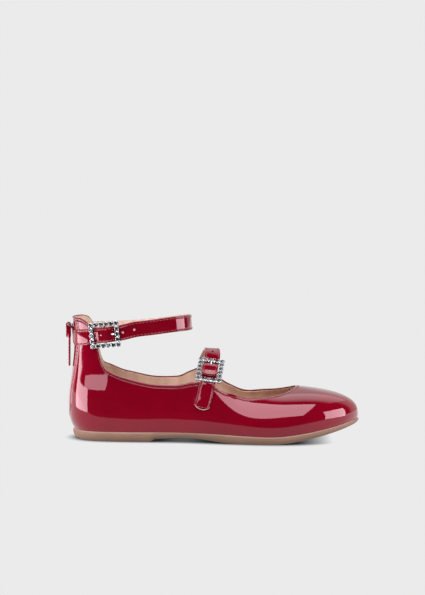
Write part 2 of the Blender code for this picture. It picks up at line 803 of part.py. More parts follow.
def build_zip():
    tape_depth = ZIP_CHAIN_DEPTH + ZIP_CHAIN_THICKNESS + CLEARANCE
    chain = (ZIP_CHAIN_DEPTH, ZIP_CHAIN_DEPTH + ZIP_CHAIN_THICKNESS)
    tape = (tape_depth, tape_depth + ZIP_TAPE_THICKNESS)
    back_patch("zip_tape", ZIP_TAPE_WIDTH, ZIP_TAPE_BOTTOM, ZIP_TOP, tape, TEXTILE)
    back_patch("zip_chain", ZIP_CHAIN_WIDTH, ZIP_SLOT_BOTTOM + 2 * CLEARANCE, ZIP_TOP, chain, TEXTILE)
    plate = (-CLEARANCE, -CLEARANCE - SLIDER_THICKNESS)
    slider = back_patch("zip_slider", SLIDER_WIDTH, SLIDER_BOTTOM, SLIDER_TOP, plate, METAL, 4, 3)
    middle = (SLIDER_BOTTOM + SLIDER_TOP) / 2
    root = upper_face(0.0, rise_for(0.0, middle))[0] - CLEARANCE - SLIDER_THICKNESS / 2
    pin = x_at(0.0) - PIN_REACH
    side = SLIDER_WIDTH / 2 - RING_RADIUS
    leg = [(root, side), (pin + RING_RADIUS, side), (pin + RING_RADIUS / 4, side - RING_RADIUS / 4)]
    leg.append((pin, side - RING_RADIUS))
    line = [(x, y) for x, y in leg] + [(x, -y) for x, y in reversed(leg)]
    drop = (PIN_HEIGHT - middle) / (root - pin)
    path = [(x, y, middle + (root - x) * drop) for x, y in line]
    tilt = np.array((drop, 0.0, 1.0)) / math.hypot(drop, 1.0)
    ring = tube("ring", path, 8, RING_RADIUS, RING_RADIUS, tilt, METAL)
    combine(slider, ring, "UNION")
    pull = build_pull()
    pull.location = (pin, 0.0, PIN_HEIGHT)


def build_pull():
    """A narrow leather pull, folded thick at its top, that hangs from the slider's ring. Its origin lies
    on the ring's pin."""
    loop = PULL_LOOP_THICKNESS / 2
    front = loop - CLEARANCE
    back = front - PULL_TAIL_THICKNESS
    head = [(loop * math.cos(a), loop * math.sin(a)) for a in np.linspace(0, math.pi, 9)]
    outline = head + [
        (-loop, -PULL_LOOP_LENGTH * PULL_TAPER),
        (back, -PULL_LOOP_LENGTH),
        (back, -PULL_LENGTH + PULL_TAIL_THICKNESS / 4),
        (back + PULL_TAIL_THICKNESS / 4, -PULL_LENGTH),
        (front - PULL_TAIL_THICKNESS / 4, -PULL_LENGTH),
        (front, -PULL_LENGTH + PULL_TAIL_THICKNESS / 4),
        (front, -PULL_LOOP_LENGTH),
        (loop, -PULL_LOOP_LENGTH * PULL_TAPER),
    ]
    pull = prism("zip_pull", outline, PULL_WIDTH / 2, PATENT)
    eye = [(0.0, -PULL_WIDTH, 0.0), (0.0, PULL_WIDTH, 0.0)]
    radius = RING_RADIUS + CLEARANCE
    combine(pull, tube("eye", eye, 12, radius, radius, (1.0, 0.0, 0.0), PATENT), "DIFFERENCE")
    return pull


def stone_spots():
    """Middles of the stones round a buckle's frame."""
    along = np.linspace(-BUCKLE_ALONG / 2, BUCKLE_ALONG / 2, STONES_ALONG)
    across = np.linspace(-BUCKLE_ACROSS / 2, BUCKLE_ACROSS / 2, STONES_ACROSS)
    rows = [(x, y) for y in (across[0], across[-1]) for x in along]
    return rows + [(x, y) for x in (along[0], along[-1]) for y in across[1:-1]]


def disc(middle, sides, levels):
    """Points and faces of a round block from its radius and height at each level."""
    points = []
    for radius, height in levels:
        for i in range(sides):
            turn = 2 * math.pi * (i + 0.5) / sides
            points.append((middle[0] + radius * math.cos(turn), middle[1] + radius * math.sin(turn), height))
    faces = []
    for level in range(len(levels) - 1):
        for i in range(sides):
            here, there = level * sides + i, level * sides + (i + 1) % sides
            faces.append((here, there, there + sides, here + sides))
    faces += [tuple(range(sides)), tuple(range(len(points) - sides, len(points)))]
    return points, faces


def build_buckle_shape():
    """The frame with its rails, centre bar and stone cups, in its own axes."""
    outer_x, outer_y = (BUCKLE_ALONG + RAIL_WIDTH) / 2, (BUCKLE_ACROSS + RAIL_WIDTH) / 2
    inner_x, inner_y = (BUCKLE_ALONG - RAIL_WIDTH) / 2, (BUCKLE_ACROSS - RAIL_WIDTH) / 2
    points = []
    for height in (-RAIL_THICKNESS / 2, RAIL_THICKNESS / 2):
        for x, y in ((outer_x, outer_y), (inner_x, inner_y)):
            points += [(-x, -y, height), (x, -y, height), (x, y, height), (-x, y, height)]
    faces = []
    for i in range(4):
        after = (i + 1) % 4
        faces += [(i, after, after + 4, i + 4), (i + 8, after + 8, after + 12, i + 12)]
        faces += [(i, after, after + 8, i + 8), (i + 4, after + 4, after + 12, i + 12)]
    frame = mesh_object("ankle_buckle", points, faces, METAL)
    cup_points, cup_faces = [], []
    for spot in stone_spots():
        new, sides = disc(spot, 8, [(CUP_RADIUS, -RAIL_THICKNESS / 4), (CUP_RADIUS, CUP_HEIGHT)])
        cup_faces += [tuple(k + len(cup_points) for k in face) for face in sides]
        cup_points += new
    cups = mesh_object("cups", cup_points, cup_faces, METAL)
    reach = BUCKLE_ACROSS / 2 + RAIL_WIDTH / 4
    drop = BAR_DROP
    line = [(0.0, -reach, -drop * 0.4), (0.0, -reach * 0.8, -drop), (0.0, reach * 0.8, -drop),
            (0.0, reach, -drop * 0.4)]
    bar = tube("bar", line, 8, BAR_RADIUS, BAR_RADIUS, (1.0, 0.0, 0.0), METAL)
    combine(frame, bar, "UNION")
    combine(frame, cups, "UNION")
    return frame


def prong_line():
    """Middle line of a prong in its buckle's axes: round the bar, then out over the far side."""
    curl = BAR_RADIUS + PRONG_THICKNESS / 2 + CLEARANCE / 3
    turn = np.radians(np.arange(-60, -271, -30))
    line = [(curl * math.cos(a), 0.0, -BAR_DROP + curl * math.sin(a)) for a in turn]
    tip = (BUCKLE_ALONG / 2 - CUP_RADIUS * 0.9, 0.0, CUP_HEIGHT + PRONG_THICKNESS / 2 + CLEARANCE)
    start = np.array(line[-1])
    return np.array(line + [tuple(start + (np.array(tip) - start) * share) for share in (0.2, 0.6, 1.0)])


def build_buckle(name, frame, shape, stone):
    """One buckle at its place: the frame, its prong and its stones."""
    shape.matrix_world = frame
    prong = tube(name + "_prong", prong_line(), 8, PRONG_WIDTH / 2, PRONG_THICKNESS / 2,
                 (0.0, 1.0, 0.0), METAL)
    prong.matrix_world = frame
    for i, (x, y) in enumerate(stone_spots()):
        set_stone = bpy.data.objects.new(f"{name}_stone_{i + 1:02d}", stone)
        bpy.context.scene.collection.objects.link(set_stone)
        set_stone.matrix_world = frame @ Matrix.Translation((x, y, CUP_HEIGHT + CLEARANCE / 6))


def tab_rows(root, frame):
    """Rows of a tab: on the upper, under the frame's near side, round the bar and back a little."""
    rows = [on_upper(row, OVERLAY_GAP) for row in root]
    for along, out, face, up in TAB_THREAD:
        rows.append(in_buckle(frame, along * BUCKLE_ALONG, out * TAB_THICKNESS, (face, up)))
    fold = BAR_RADIUS + CLEARANCE / 2
    for turn in np.radians([90, 45, 0, -45, -90]):
        way = (math.cos(turn), math.sin(turn))
        rows.append(in_buckle(frame, fold * way[0], fold * way[1] - BAR_DROP, way))
    rows.append(in_buckle(frame, -BUCKLE_ALONG * 0.13, -BAR_DROP - fold * 1.15, (0.0, -1.0)))
    rows.append(in_buckle(frame, -BUCKLE_ALONG * 0.22, -BAR_DROP - fold * 1.30, (0.0, -1.0)))
    return rows


def build_tab(name, root, frame):
    tab = strip(name, tab_rows(root, frame), TAB_THICKNESS, (TAB_END_ROUND, STRAP_END_ROUND), PATENT)
    reach = BAR_RADIUS + TAB_THICKNESS + 2 * CLEARANCE
    points, faces = [], []
    for x in (-reach, reach):
        for y, z in ((-1, -1), (1, -1), (1, 1), (-1, 1)):
            points.append((x, y * PRONG_SLOT_WIDTH / 2, z * reach * 1.4 - BAR_DROP))
    faces = [(0, 1, 2, 3), (4, 5, 6, 7)] + [(i, (i + 1) % 4, (i + 1) % 4 + 4, i + 4) for i in range(4)]
    slot = mesh_object("slot", points, faces, PATENT)
    slot.matrix_world = frame
    combine(tab, slot, "DIFFERENCE")


def build_strap(name, root, loop, middle, frame):
    """A strap from its root on the upper, round its loop and through its buckle, with its holes."""
    rows = [on_upper(row, OVERLAY_GAP) for row in root]
    rows += [facing_from(middle, row) for row in loop]
    for along, out in STRAP_THREAD:
        rows.append(in_buckle(frame, along * BUCKLE_ALONG, out * STRAP_THICKNESS))
    strap = strip(name, rows, STRAP_THICKNESS, (TAB_END_ROUND, STRAP_END_ROUND), PATENT)
    line = prong_line()
    low, high = line[-3], line[-1]
    ends = [frame @ Vector(low + (high - low) * share) for share in PRONG_CUT]
    side = np.array(frame.to_3x3() @ Vector((0.0, 1.0, 0.0)))
    prong_hole = tube("hole", ends, 10, PRONG_WIDTH * 0.75, PRONG_THICKNESS * 0.9, side, PATENT)
    combine(strap, prong_hole, "DIFFERENCE")
    _, length = through(rows)
    from_tip = BUCKLE_ALONG * 0.60
    drill(strap, rows, [length - from_tip + HOLE_PITCH, length - from_tip - HOLE_PITCH,
                        length - from_tip - 2 * HOLE_PITCH], HOLE_RADIUS)


def build():
    clear_scene()
    build_upper()
    build_outsole()
    build_insole()
    build_zip()
    ankle = buckle_frame(ANKLE_BUCKLE_MIDDLE, ANKLE_BUCKLE_WAY, ANKLE_BUCKLE_SIDE)
    instep = buckle_frame(INSTEP_BUCKLE_MIDDLE, INSTEP_BUCKLE_WAY, INSTEP_BUCKLE_SIDE)
    ankle_shape = build_buckle_shape()
    instep_shape = bpy.data.objects.new("instep_buckle", ankle_shape.data)
    bpy.context.scene.collection.objects.link(instep_shape)
    girdle, table = STONE_HEIGHT * 0.4, STONE_RADIUS * 0.6
    stone_levels = [(STONE_RADIUS, 0.0), (STONE_RADIUS, girdle), (table, STONE_HEIGHT)]
    stone_points, stone_faces = disc((0.0, 0.0), 8, stone_levels)
    pattern = mesh_object("stone", stone_points, stone_faces, STONE)
    build_buckle("ankle", ankle, ankle_shape, pattern.data)
    build_buckle("instep", instep, instep_shape, pattern.data)
    bpy.data.objects.remove(pattern)
    build_tab("ankle_tab", ANKLE_TAB_ROOT, ankle)
    build_tab("instep_tab", INSTEP_TAB_ROOT, instep)
    build_strap("ankle_strap", ANKLE_STRAP_ROOT, ANKLE_STRAP_LOOP, ANKLE_MIDDLE, ankle)
    build_strap("instep_strap", INSTEP_STRAP_ROOT, INSTEP_STRAP_LOOP, INSTEP_MIDDLE, instep)


build()
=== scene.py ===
"""Looks of a red patent mary jane shoe for the right foot: its surfaces, seams, stitches and fittings, the
studio around it and the camera.

The forms follow the same rules as the solids: metres, +Z up, toe towards +X, the foot's inner side towards
+Y, and the origin on the floor under the middle of the heel. The upper is a ring of numbered sections:
section 0 is the middle of the back, TOE_SECTION is the tip of the toe, and the numbers go on along the
inner side back to 0. rise is the share of the way from a section's foot to its crest.
"""
import json
import math

import bmesh
import bpy
import numpy as np
from mathutils import Matrix, Vector

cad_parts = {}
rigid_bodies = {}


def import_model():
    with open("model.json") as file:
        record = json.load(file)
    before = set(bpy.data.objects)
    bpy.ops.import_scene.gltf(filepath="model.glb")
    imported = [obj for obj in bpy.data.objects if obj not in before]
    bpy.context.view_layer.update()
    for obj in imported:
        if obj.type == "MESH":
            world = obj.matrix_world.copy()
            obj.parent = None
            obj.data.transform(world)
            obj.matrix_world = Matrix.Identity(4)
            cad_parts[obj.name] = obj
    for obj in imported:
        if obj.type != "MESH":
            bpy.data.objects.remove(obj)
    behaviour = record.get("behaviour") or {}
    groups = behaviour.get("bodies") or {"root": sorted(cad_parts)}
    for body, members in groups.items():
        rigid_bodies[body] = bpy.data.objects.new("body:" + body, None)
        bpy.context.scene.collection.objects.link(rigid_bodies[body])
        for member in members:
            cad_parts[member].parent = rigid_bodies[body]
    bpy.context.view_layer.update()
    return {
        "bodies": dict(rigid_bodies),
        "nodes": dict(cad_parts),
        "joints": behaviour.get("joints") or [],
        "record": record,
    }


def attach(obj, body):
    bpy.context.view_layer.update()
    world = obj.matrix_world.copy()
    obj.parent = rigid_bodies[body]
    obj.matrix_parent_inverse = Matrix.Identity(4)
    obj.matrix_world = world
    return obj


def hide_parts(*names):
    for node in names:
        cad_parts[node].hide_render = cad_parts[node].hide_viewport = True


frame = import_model()

# Driving sizes of the solids, in metres
SOLE_LENGTH = 0.2217
BALL_WIDTH = 0.0760
COLUMN_HEIGHT = 0.0970
UPPER_WALL = 0.0016
SOLE_EDGE = 0.0077
SOLE_LIP = 0.0007
HEEL_LIFT = 0.0024
ARCH_RISE = 0.0036
TOE_SPRING = 0.0128
INSOLE_THICKNESS = 0.0024
CLEARANCE = 0.0003
OVERLAY_GAP = 0.0006

# Straps, tabs and buckles
STRAP_WIDTH = 0.0120
STRAP_THICKNESS = 0.0018
TAB_THICKNESS = 0.0012
TAB_END_ROUND = 0.0036
STRAP_END_ROUND = 0.0012
HOLE_PITCH = 0.0088
HOLE_RADIUS = 0.0009
PRONG_SLOT_WIDTH = 0.0024
BUCKLE_ALONG = 0.0208
BUCKLE_ACROSS = 0.0166
RAIL_WIDTH = 0.0020
RAIL_THICKNESS = 0.0012
BAR_RADIUS = 0.0007
BAR_DROP = 0.0008
CUP_RADIUS = 0.0019
CUP_HEIGHT = 0.0014
STONE_RADIUS = 0.0016
STONE_HEIGHT = 0.0010
STONES_ALONG = 6
STONES_ACROSS = 5
PRONG_WIDTH = 0.0013
PRONG_THICKNESS = 0.0008

# Zip
ZIP_SLOT_WIDTH = 0.0062
ZIP_SLOT_BOTTOM = 0.0230
ZIP_CHAIN_WIDTH = 0.0054
ZIP_CHAIN_DEPTH = 0.0003
ZIP_CHAIN_THICKNESS = 0.0012
ZIP_TAPE_WIDTH = 0.0150
ZIP_TAPE_THICKNESS = 0.0007
ZIP_TAPE_BOTTOM = 0.0180
ZIP_TOP = COLUMN_HEIGHT - 0.0060
SLIDER_TOP = ZIP_TOP - 0.0015
SLIDER_BOTTOM = SLIDER_TOP - 0.0080
SLIDER_WIDTH = 0.0066
SLIDER_THICKNESS = 0.0010
RING_RADIUS = 0.0005
PIN_REACH = 0.0046
PIN_HEIGHT = SLIDER_TOP - 0.0010
PULL_WIDTH = 0.0042
PULL_LOOP_THICKNESS = 0.0040
PULL_LOOP_LENGTH = 0.0105
PULL_TAIL_THICKNESS = 0.0016
PULL_LENGTH = 0.0325

# Finish of the leather and the thread
PATENT_LAYER = 0.0009
LINING_GAP = 0.0008
SEAM_INSET = 0.0020
STRAP_SEAM_INSET = 0.0015
ZIP_SEAM = 0.0100
ZIP_SEAM_TURN = ZIP_SLOT_BOTTOM - 0.0055 + ZIP_SEAM
THREAD_RADIUS = 0.00024
STITCH_PITCH = 0.0027
STITCH_LENGTH = 0.0020
BACKING = 0.0006
SHARP_ANGLE = 50

TOE_SECTION = 14
RING_SECTIONS = 2 * TOE_SECTION

# Foot of each section: along is a share of SOLE_LENGTH, lateral and medial are shares of BALL_WIDTH on
# either side of the heel to toe line, and edge is the sole's edge thickness as a share of SOLE_EDGE.
#        along  lateral medial   edge
FOOT = [
    (0.0000, 0.000, 0.000, 1.00),
    (0.0114, 0.140, 0.140, 1.00),
    (0.0409, 0.253, 0.250, 1.00),
    (0.0910, 0.318, 0.312, 1.00),
    (0.1730, 0.346, 0.335, 1.00),
    (0.2730, 0.356, 0.330, 1.02),
    (0.3860, 0.380, 0.334, 1.04),
    (0.5000, 0.434, 0.388, 0.98),
    (0.6130, 0.487, 0.461, 0.86),
    (0.7170, 0.500, 0.500, 0.80),
    (0.8170, 0.447, 0.485, 0.74),
    (0.8990, 0.345, 0.412, 0.68),
    (0.9540, 0.220, 0.300, 0.62),
    (0.9880, 0.080, 0.165, 0.57),
    (1.0000, -0.035, 0.035, 0.55),
]

# Crest of each section: along is a share of SOLE_LENGTH, lateral and medial are shares of BALL_WIDTH, and
# height is a share of COLUMN_HEIGHT. Behind the ball it lies above the topline, and is cut away.
#        along  lateral medial  height
CREST = [
    (-0.0110, 0.000, 0.000, 1.000),
    (0.0010, 0.125, 0.125, 1.000),
    (0.0310, 0.210, 0.210, 1.000),
    (0.0700, 0.252, 0.252, 0.995),
    (0.1270, 0.270, 0.270, 0.950),
    (0.2270, 0.270, 0.270, 0.820),
    (0.3500, 0.285, 0.280, 0.690),
    (0.4650, 0.315, 0.310, 0.590),
    (0.5700, 0.345, 0.350, 0.395),
    (0.6470, 0.340, 0.362, 0.363),
    (0.7040, 0.290, 0.330, 0.374),
    (0.7450, 0.200, 0.250, 0.394),
    (0.7680, 0.110, 0.165, 0.413),
    (0.7790, 0.035, 0.097, 0.425),
    (0.7810, -0.030, 0.030, 0.428),
]

# How each section curves. low_out and high_out are shares of BALL_WIDTH, outwards from the foot and from
# the crest; low_up and high_down are shares of COLUMN_HEIGHT.
#      low_out low_up high_out high_down
CURVE = [
    (0.158, 0.186, -0.105, 0.360),
    (0.150, 0.186, -0.099, 0.350),
    (0.123, 0.170, -0.079, 0.340),
    (0.097, 0.138, -0.046, 0.310),
    (0.078, 0.144, -0.013, 0.268),
    (0.073, 0.152, 0.013, 0.206),
    (0.064, 0.145, 0.039, 0.144),
    (0.053, 0.130, 0.066, 0.113),
    (0.053, 0.134, 0.092, 0.082),
    (0.059, 0.134, 0.118, 0.062),
    (0.066, 0.144, 0.184, 0.046),
    (0.066, 0.154, 0.276, 0.041),
    (0.059, 0.161, 0.355, 0.038),
    (0.053, 0.164, 0.414, 0.034),
    (0.046, 0.166, 0.436, 0.030),
]

# Topline: the edge starts from the foot of section foot, ends over section head, and stands at rise, the
# share of the way from foot to crest on each side of the shoe.
#        foot   head  lateral medial
TOPLINE = [
    (0.00, 0.00, 0.974, 0.974),
    (1.00, 1.00, 0.974, 0.974),
    (1.60, 1.60, 0.972, 0.974),
    (2.20, 2.28, 0.950, 0.960),
    (2.70, 2.85, 0.900, 0.885),
    (3.00, 3.10, 0.840, 0.770),
    (3.30, 3.22, 0.740, 0.675),
    (3.60, 3.40, 0.640, 0.610),
    (4.00, 3.75, 0.585, 0.590),
    (4.50, 4.40, 0.555, 0.560),
    (5.00, 5.00, 0.550, 0.560),
    (6.00, 6.00, 0.602, 0.620),
    (6.50, 6.50, 0.675, 0.735),
    (7.00, 7.00, 0.735, 0.860),
    (7.50, 7.50, 0.775, 0.860),
    (8.00, 8.00, 0.945, 0.955),
    (9.00, 9.00, 1.000, 1.000),
    (14.0, 14.0, 1.000, 1.000),
]

# The outsole's side from top to bottom: inset from its outline, and height as a share of its edge
SOLE_SIDE = [
    (0.0009, 1.00),
    (0.0000, 0.86),
    (0.0002, 0.58),
    (0.0011, 0.28),
    (0.0022, 0.08),
    (0.0034, 0.00),
]

# Shares of SOLE_LENGTH that shape the outsole's underside
HEEL_REST = 0.150
HEEL_BREAST = 0.268
BREAST_LENGTH = 0.018
ARCH_TOP = 0.390
BALL_REST_BACK = 0.585
BALL_REST_FRONT = 0.700
TOE_SPRING_POWER = 1.42

# Rows of a strap or a tab that lie on the upper: section, and height as a share of COLUMN_HEIGHT
ANKLE_STRAP_ROOT = [(27.45, 0.832), (26.90, 0.836), (26.20, 0.841), (25.50, 0.847)]
ANKLE_TAB_ROOT = [(0.55, 0.812), (1.10, 0.816), (1.80, 0.821), (2.45, 0.829)]
INSTEP_STRAP_ROOT = [(21.41, 0.250), (21.29, 0.330), (21.18, 0.410), (21.07, 0.490)]
INSTEP_TAB_ROOT = [(6.66, 0.272), (6.77, 0.335), (6.87, 0.390), (6.95, 0.440)]

# Free rows of a strap: shares of SOLE_LENGTH, BALL_WIDTH and COLUMN_HEIGHT
ANKLE_STRAP_LOOP = [
    (0.159, 0.305, 0.859),
    (0.250, 0.331, 0.872),
    (0.327, 0.282, 0.897),
    (0.386, 0.145, 0.925),
    (0.405, 0.000, 0.937),
    (0.387, -0.145, 0.941),
    (0.332, -0.263, 0.934),
    (0.265, -0.316, 0.916),
    (0.212, -0.322, 0.899),
]
INSTEP_STRAP_LOOP = [
    (0.4655, 0.320, 0.592),
    (0.4745, 0.250, 0.653),
    (0.4810, 0.132, 0.694),
    (0.4845, 0.013, 0.704),
    (0.4860, -0.073, 0.674),
]

# The middle about which each loop faces outwards, in the same shares
ANKLE_MIDDLE = (0.230, 0.000, 0.905)
INSTEP_MIDDLE = (0.478, 0.000, 0.380)

# Where each buckle sits: its middle, the way its strap comes in, and the way across, in the same shares
ANKLE_BUCKLE = ((0.1112, -0.316, 0.856), (0.0908, -0.076, 0.0275), (0.0000, 0.000, 1.000))
INSTEP_BUCKLE = ((0.4775, -0.298, 0.571), (0.0113, 0.213, 0.135), (-0.4500, 0.000, 0.080))

# How a strap's underside threads a buckle, from its far side to its tip: share of BUCKLE_ALONG from the
# bar, and share of STRAP_THICKNESS above the frame
STRAP_THREAD = [
    (0.500, -1.62),
    (0.400, -1.45),
    (0.300, -0.72),
    (0.225, 0.20),
    (0.140, 0.86),
    (0.000, 0.96),
    (-0.150, 0.84),
    (-0.285, 0.60),
]

# How a tab's underside meets the bar and folds round it: shares of BUCKLE_ALONG and TAB_THICKNESS, and
# the way it faces there
TAB_THREAD = [
    (-0.500, -1.86, 0.0, 1.0),
    (-0.300, -1.35, -0.2, 1.0),
    (-0.120, -0.30, -0.2, 1.0),
]

# How the sheet of the upper is divided. Round it: share of the columns, and section reached. Up it:
# share of the rows, and share of the height reached, with close rows at the foot of the zip. Near the
# topline the rows lie at set depths below it.
SHEET_HALF = 236
SHEET_SPACING = [
    (0.00, 0.0),
    (0.25, 1.6),
    (0.45, 4.0),
    (1.00, 14.0),
]
BODY_ROWS = 46
BODY_SPREAD = [
    (0.00, 0.00),
    (0.22, 0.20),
    (0.45, 0.30),
    (1.00, 1.00),
]
TOP_ROWS = [0.0050, 0.0042, 0.0035, 0.0029, 0.0026, 0.0023, 0.0021, 0.0019, 0.0017, 0.0014, 0.0011, 0.0007,
            0.0003, 0.0]

# Soft troughs and ridges of the leather: share of SOLE_LENGTH, height as a share of COLUMN_HEIGHT, side
# (-1 outer, 1 inner), half length and half width in metres, lean in degrees, and depth inwards
#       along height side   long    wide  lean  depth
DENTS = [
    (0.062, 0.385, -1, 0.0250, 0.0100, 0.0, -0.00075),
    (0.400, 0.330, -1, 0.0100, 0.0060, 75.0, 0.00016),
    (0.270, 0.330, -1, 0.0240, 0.0090, 20.0, 0.00012),
    (0.610, 0.215, 1, 0.0200, 0.0060, 40.0, 0.00025),
    (0.650, 0.245, 1, 0.0180, 0.0055, 55.0, -0.00018),
    (0.300, 0.230, 1, 0.0260, 0.0090, 10.0, 0.00030),
    (0.450, 0.260, 1, 0.0200, 0.0070, 80.0, 0.00028),
]

UP = np.array((0.0, 0.0, 1.0))

# Steps of the searches that halve a range, and of the search for a section near the middle of the back,
# which starts from about BACK_SECTIONS sections for each BALL_WIDTH
HALVINGS = 30
FINE_HALVINGS = 40
BACK_STEPS = 6
BACK_SECTIONS = 8


def ring_spline(values):
    """A smooth closed curve through one value for each section of the ring, as a function of section."""
    count = len(values)
    values = np.asarray(values, float)
    system = 4.0 * np.eye(count) + np.roll(np.eye(count), 1, 0) + np.roll(np.eye(count), -1, 0)
    bends = np.linalg.solve(system, 6.0 * (np.roll(values, -1, 0) - 2.0 * values + np.roll(values, 1, 0)))

    def at(section):
        section = np.asarray(section, float) % count
        before = np.floor(section).astype(int) % count
        after = (before + 1) % count
        part = (section - np.floor(section))[..., None] if values.ndim > 1 else section - np.floor(section)
        rest = 1.0 - part
        straight = rest * values[before] + part * values[after]
        curved = (rest**3 - rest) * bends[before] + (part**3 - part) * bends[after]
        return straight + curved / 6.0

    return at


def round_the_ring(lateral_rows, medial_rows):
    """Rows for the outer side, heel to toe, then those for the inner side, toe to heel."""
    return np.array(lateral_rows + medial_rows[-2:0:-1])


def sole_bottom(along):
    """Height of the outsole's underside at a share of SOLE_LENGTH."""
    if along < HEEL_BREAST:
        return 0.0
    if along < HEEL_BREAST + BREAST_LENGTH:
        return HEEL_LIFT * (along - HEEL_BREAST) / BREAST_LENGTH
    if along < ARCH_TOP:
        part = (along - HEEL_BREAST - BREAST_LENGTH) / (ARCH_TOP - HEEL_BREAST - BREAST_LENGTH)
        return HEEL_LIFT + (ARCH_RISE - HEEL_LIFT) * math.sin(part * math.pi / 2)
    if along < BALL_REST_BACK:
        part = (along - ARCH_TOP) / (BALL_REST_BACK - ARCH_TOP)
        return ARCH_RISE * (1 + math.cos(part * math.pi)) / 2
    if along < BALL_REST_FRONT:
        return 0.0
    return TOE_SPRING * ((along - BALL_REST_FRONT) / (1 - BALL_REST_FRONT)) ** TOE_SPRING_POWER


def seat_height(along, edge):
    """Height of the outsole's upper face, from its edge share and the toe spring under it."""
    spring = sole_bottom(along) if along > BALL_REST_FRONT else 0.0
    return edge * SOLE_EDGE + spring


def x_at(along):
    """Distance from the origin at a share of SOLE_LENGTH from the heel's back."""
    return (along - HEEL_REST) * SOLE_LENGTH


def foot_ring():
    """The foot of each section, on the outsole's upper face."""
    def row(side, width, along, edge):
        return (x_at(along), side * width * BALL_WIDTH, seat_height(along, edge))

    lateral = [row(-1, wide, along, edge) for along, wide, _, edge in FOOT]
    medial = [row(1, wide, along, edge) for along, _, wide, edge in FOOT]
    return ring_spline(round_the_ring(lateral, medial))


def crest_ring():
    """The crest of each section."""
    lateral = [(x_at(a), -wide * BALL_WIDTH, high * COLUMN_HEIGHT) for a, wide, _, high in CREST]
    medial = [(x_at(a), wide * BALL_WIDTH, high * COLUMN_HEIGHT) for a, _, wide, high in CREST]
    return ring_spline(round_the_ring(lateral, medial))


def curve_ring():
    """How each section curves, in metres."""
    rows = [
        (low_out * BALL_WIDTH, low_up * COLUMN_HEIGHT, high_out * BALL_WIDTH, high_down * COLUMN_HEIGHT)
        for low_out, low_up, high_out, high_down in CURVE
    ]
    return ring_spline(round_the_ring(rows, rows))


foot_at = foot_ring()
crest_at = crest_ring()
curve_at = curve_ring()


def unit(vectors):
    return vectors / np.linalg.norm(vectors, axis=-1, keepdims=True)


def outward_at(section):
    """Level unit vector that points away from the shoe at the foot of a section."""
    step = 0.02
    ahead = foot_at(np.asarray(section) + step) - foot_at(np.asarray(section) - step)
    return unit(np.stack([ahead[..., 1], -ahead[..., 0], np.zeros_like(ahead[..., 0])], -1))


def upper_face(section, rise):
    """Point on the upper's outer face, at a share rise of the way from foot to crest."""
    section, rise = np.broadcast_arrays(np.asarray(section, float), np.asarray(rise, float))
    foot, crest, out = foot_at(section), crest_at(section), outward_at(section)
    low_out, low_up, high_out, high_down = np.moveaxis(curve_at(section), -1, 0)[..., None]
    low = foot + out * low_out + UP * low_up
    high = crest + out * high_out - UP * high_down
    part = rise[..., None]
    rest = 1.0 - part
    return rest**3 * foot + 3 * rest**2 * part * low + 3 * rest * part**2 * high + part**3 * crest


def upper_normal(section, rise):
    """Unit vector out of the upper's outer face."""
    step = 0.01
    round_way = upper_face(np.asarray(section) + step, rise) - upper_face(np.asarray(section) - step, rise)
    up_way = upper_face(section, np.asarray(rise) + step) - upper_face(section, np.asarray(rise) - step)
    return unit(np.cross(round_way, up_way))


def gentle(knots, values, where):
    """Smooth interpolation that never overshoots the values it passes through."""
    knots, values = np.asarray(knots, float), np.asarray(values, float)
    gaps = np.diff(knots)
    slopes = np.diff(values) / gaps
    ends = np.zeros_like(values)
    same_way = slopes[1:] * slopes[:-1] > 0
    mean = 2 * slopes[1:] * slopes[:-1] / np.where(same_way, slopes[1:] + slopes[:-1], 1.0)
    ends[1:-1] = np.where(same_way, mean, 0.0)
    index = np.clip(np.searchsorted(knots, where, side="right") - 1, 0, len(gaps) - 1)
    part = (where - knots[index]) / gaps[index]
    rest = 1.0 - part
    return (
        values[index] * (1 + 2 * part) * rest**2
        + ends[index] * gaps[index] * part * rest**2
        + values[index + 1] * part**2 * (3 - 2 * part)
        - ends[index + 1] * gaps[index] * part**2 * rest
    )


def topline_at(section):
    """Section and rise of the topline above the foot of a section."""
    foot, head, lateral, medial = np.array(TOPLINE).T
    section = np.asarray(section, float) % RING_SECTIONS
    inner = section > TOE_SECTION
    from_heel = np.where(inner, RING_SECTIONS - section, section)
    over = gentle(foot, head, from_heel)
    rise = np.where(inner, gentle(foot, medial, from_heel), gentle(foot, lateral, from_heel))
    return np.where(inner, RING_SECTIONS - over, over), rise


def rise_for(section, height):
    """Rise at which the upper stands at a height."""
    low, high = 0.0, 1.0
    for _ in range(HALVINGS):
        middle = (low + high) / 2
        low, high = (middle, high) if upper_face(section, middle)[2] < height else (low, middle)
    return (low + high) / 2


def section_for(across, rise):
    """Section near the middle of the back whose point at a rise lies at a distance across."""
    section = across / BALL_WIDTH * BACK_SECTIONS
    for _ in range(BACK_STEPS):
        section = section * across / (-upper_face(section, rise)[..., 1])
    return section


def on_back(across, height):
    """Section and rise of a point on the back, at a distance across and a height."""
    rise = rise_for(0.0, height)
    section = section_for(across, rise) if abs(across) > 1e-6 else 0.0
    return section, rise_for(section, height)


def place(row):
    """Point from shares of SOLE_LENGTH from the heel's back, BALL_WIDTH and COLUMN_HEIGHT."""
    along, across, height = row
    return np.array((x_at(along), across * BALL_WIDTH, height * COLUMN_HEIGHT))


def on_upper(row, gap):
    """Point and outward direction a gap above the upper, from a section and a share of COLUMN_HEIGHT."""
    section, height = row
    rise = rise_for(section, height * COLUMN_HEIGHT)
    normal = upper_normal(section, rise)
    return np.concatenate([upper_face(section, rise) + gap * normal, normal])


def facing_from(middle, row):
    """Free point of a strap, and the direction away from the middle of its loop."""
    point = place(row)
    return np.concatenate([point, unit(point - place(middle))])


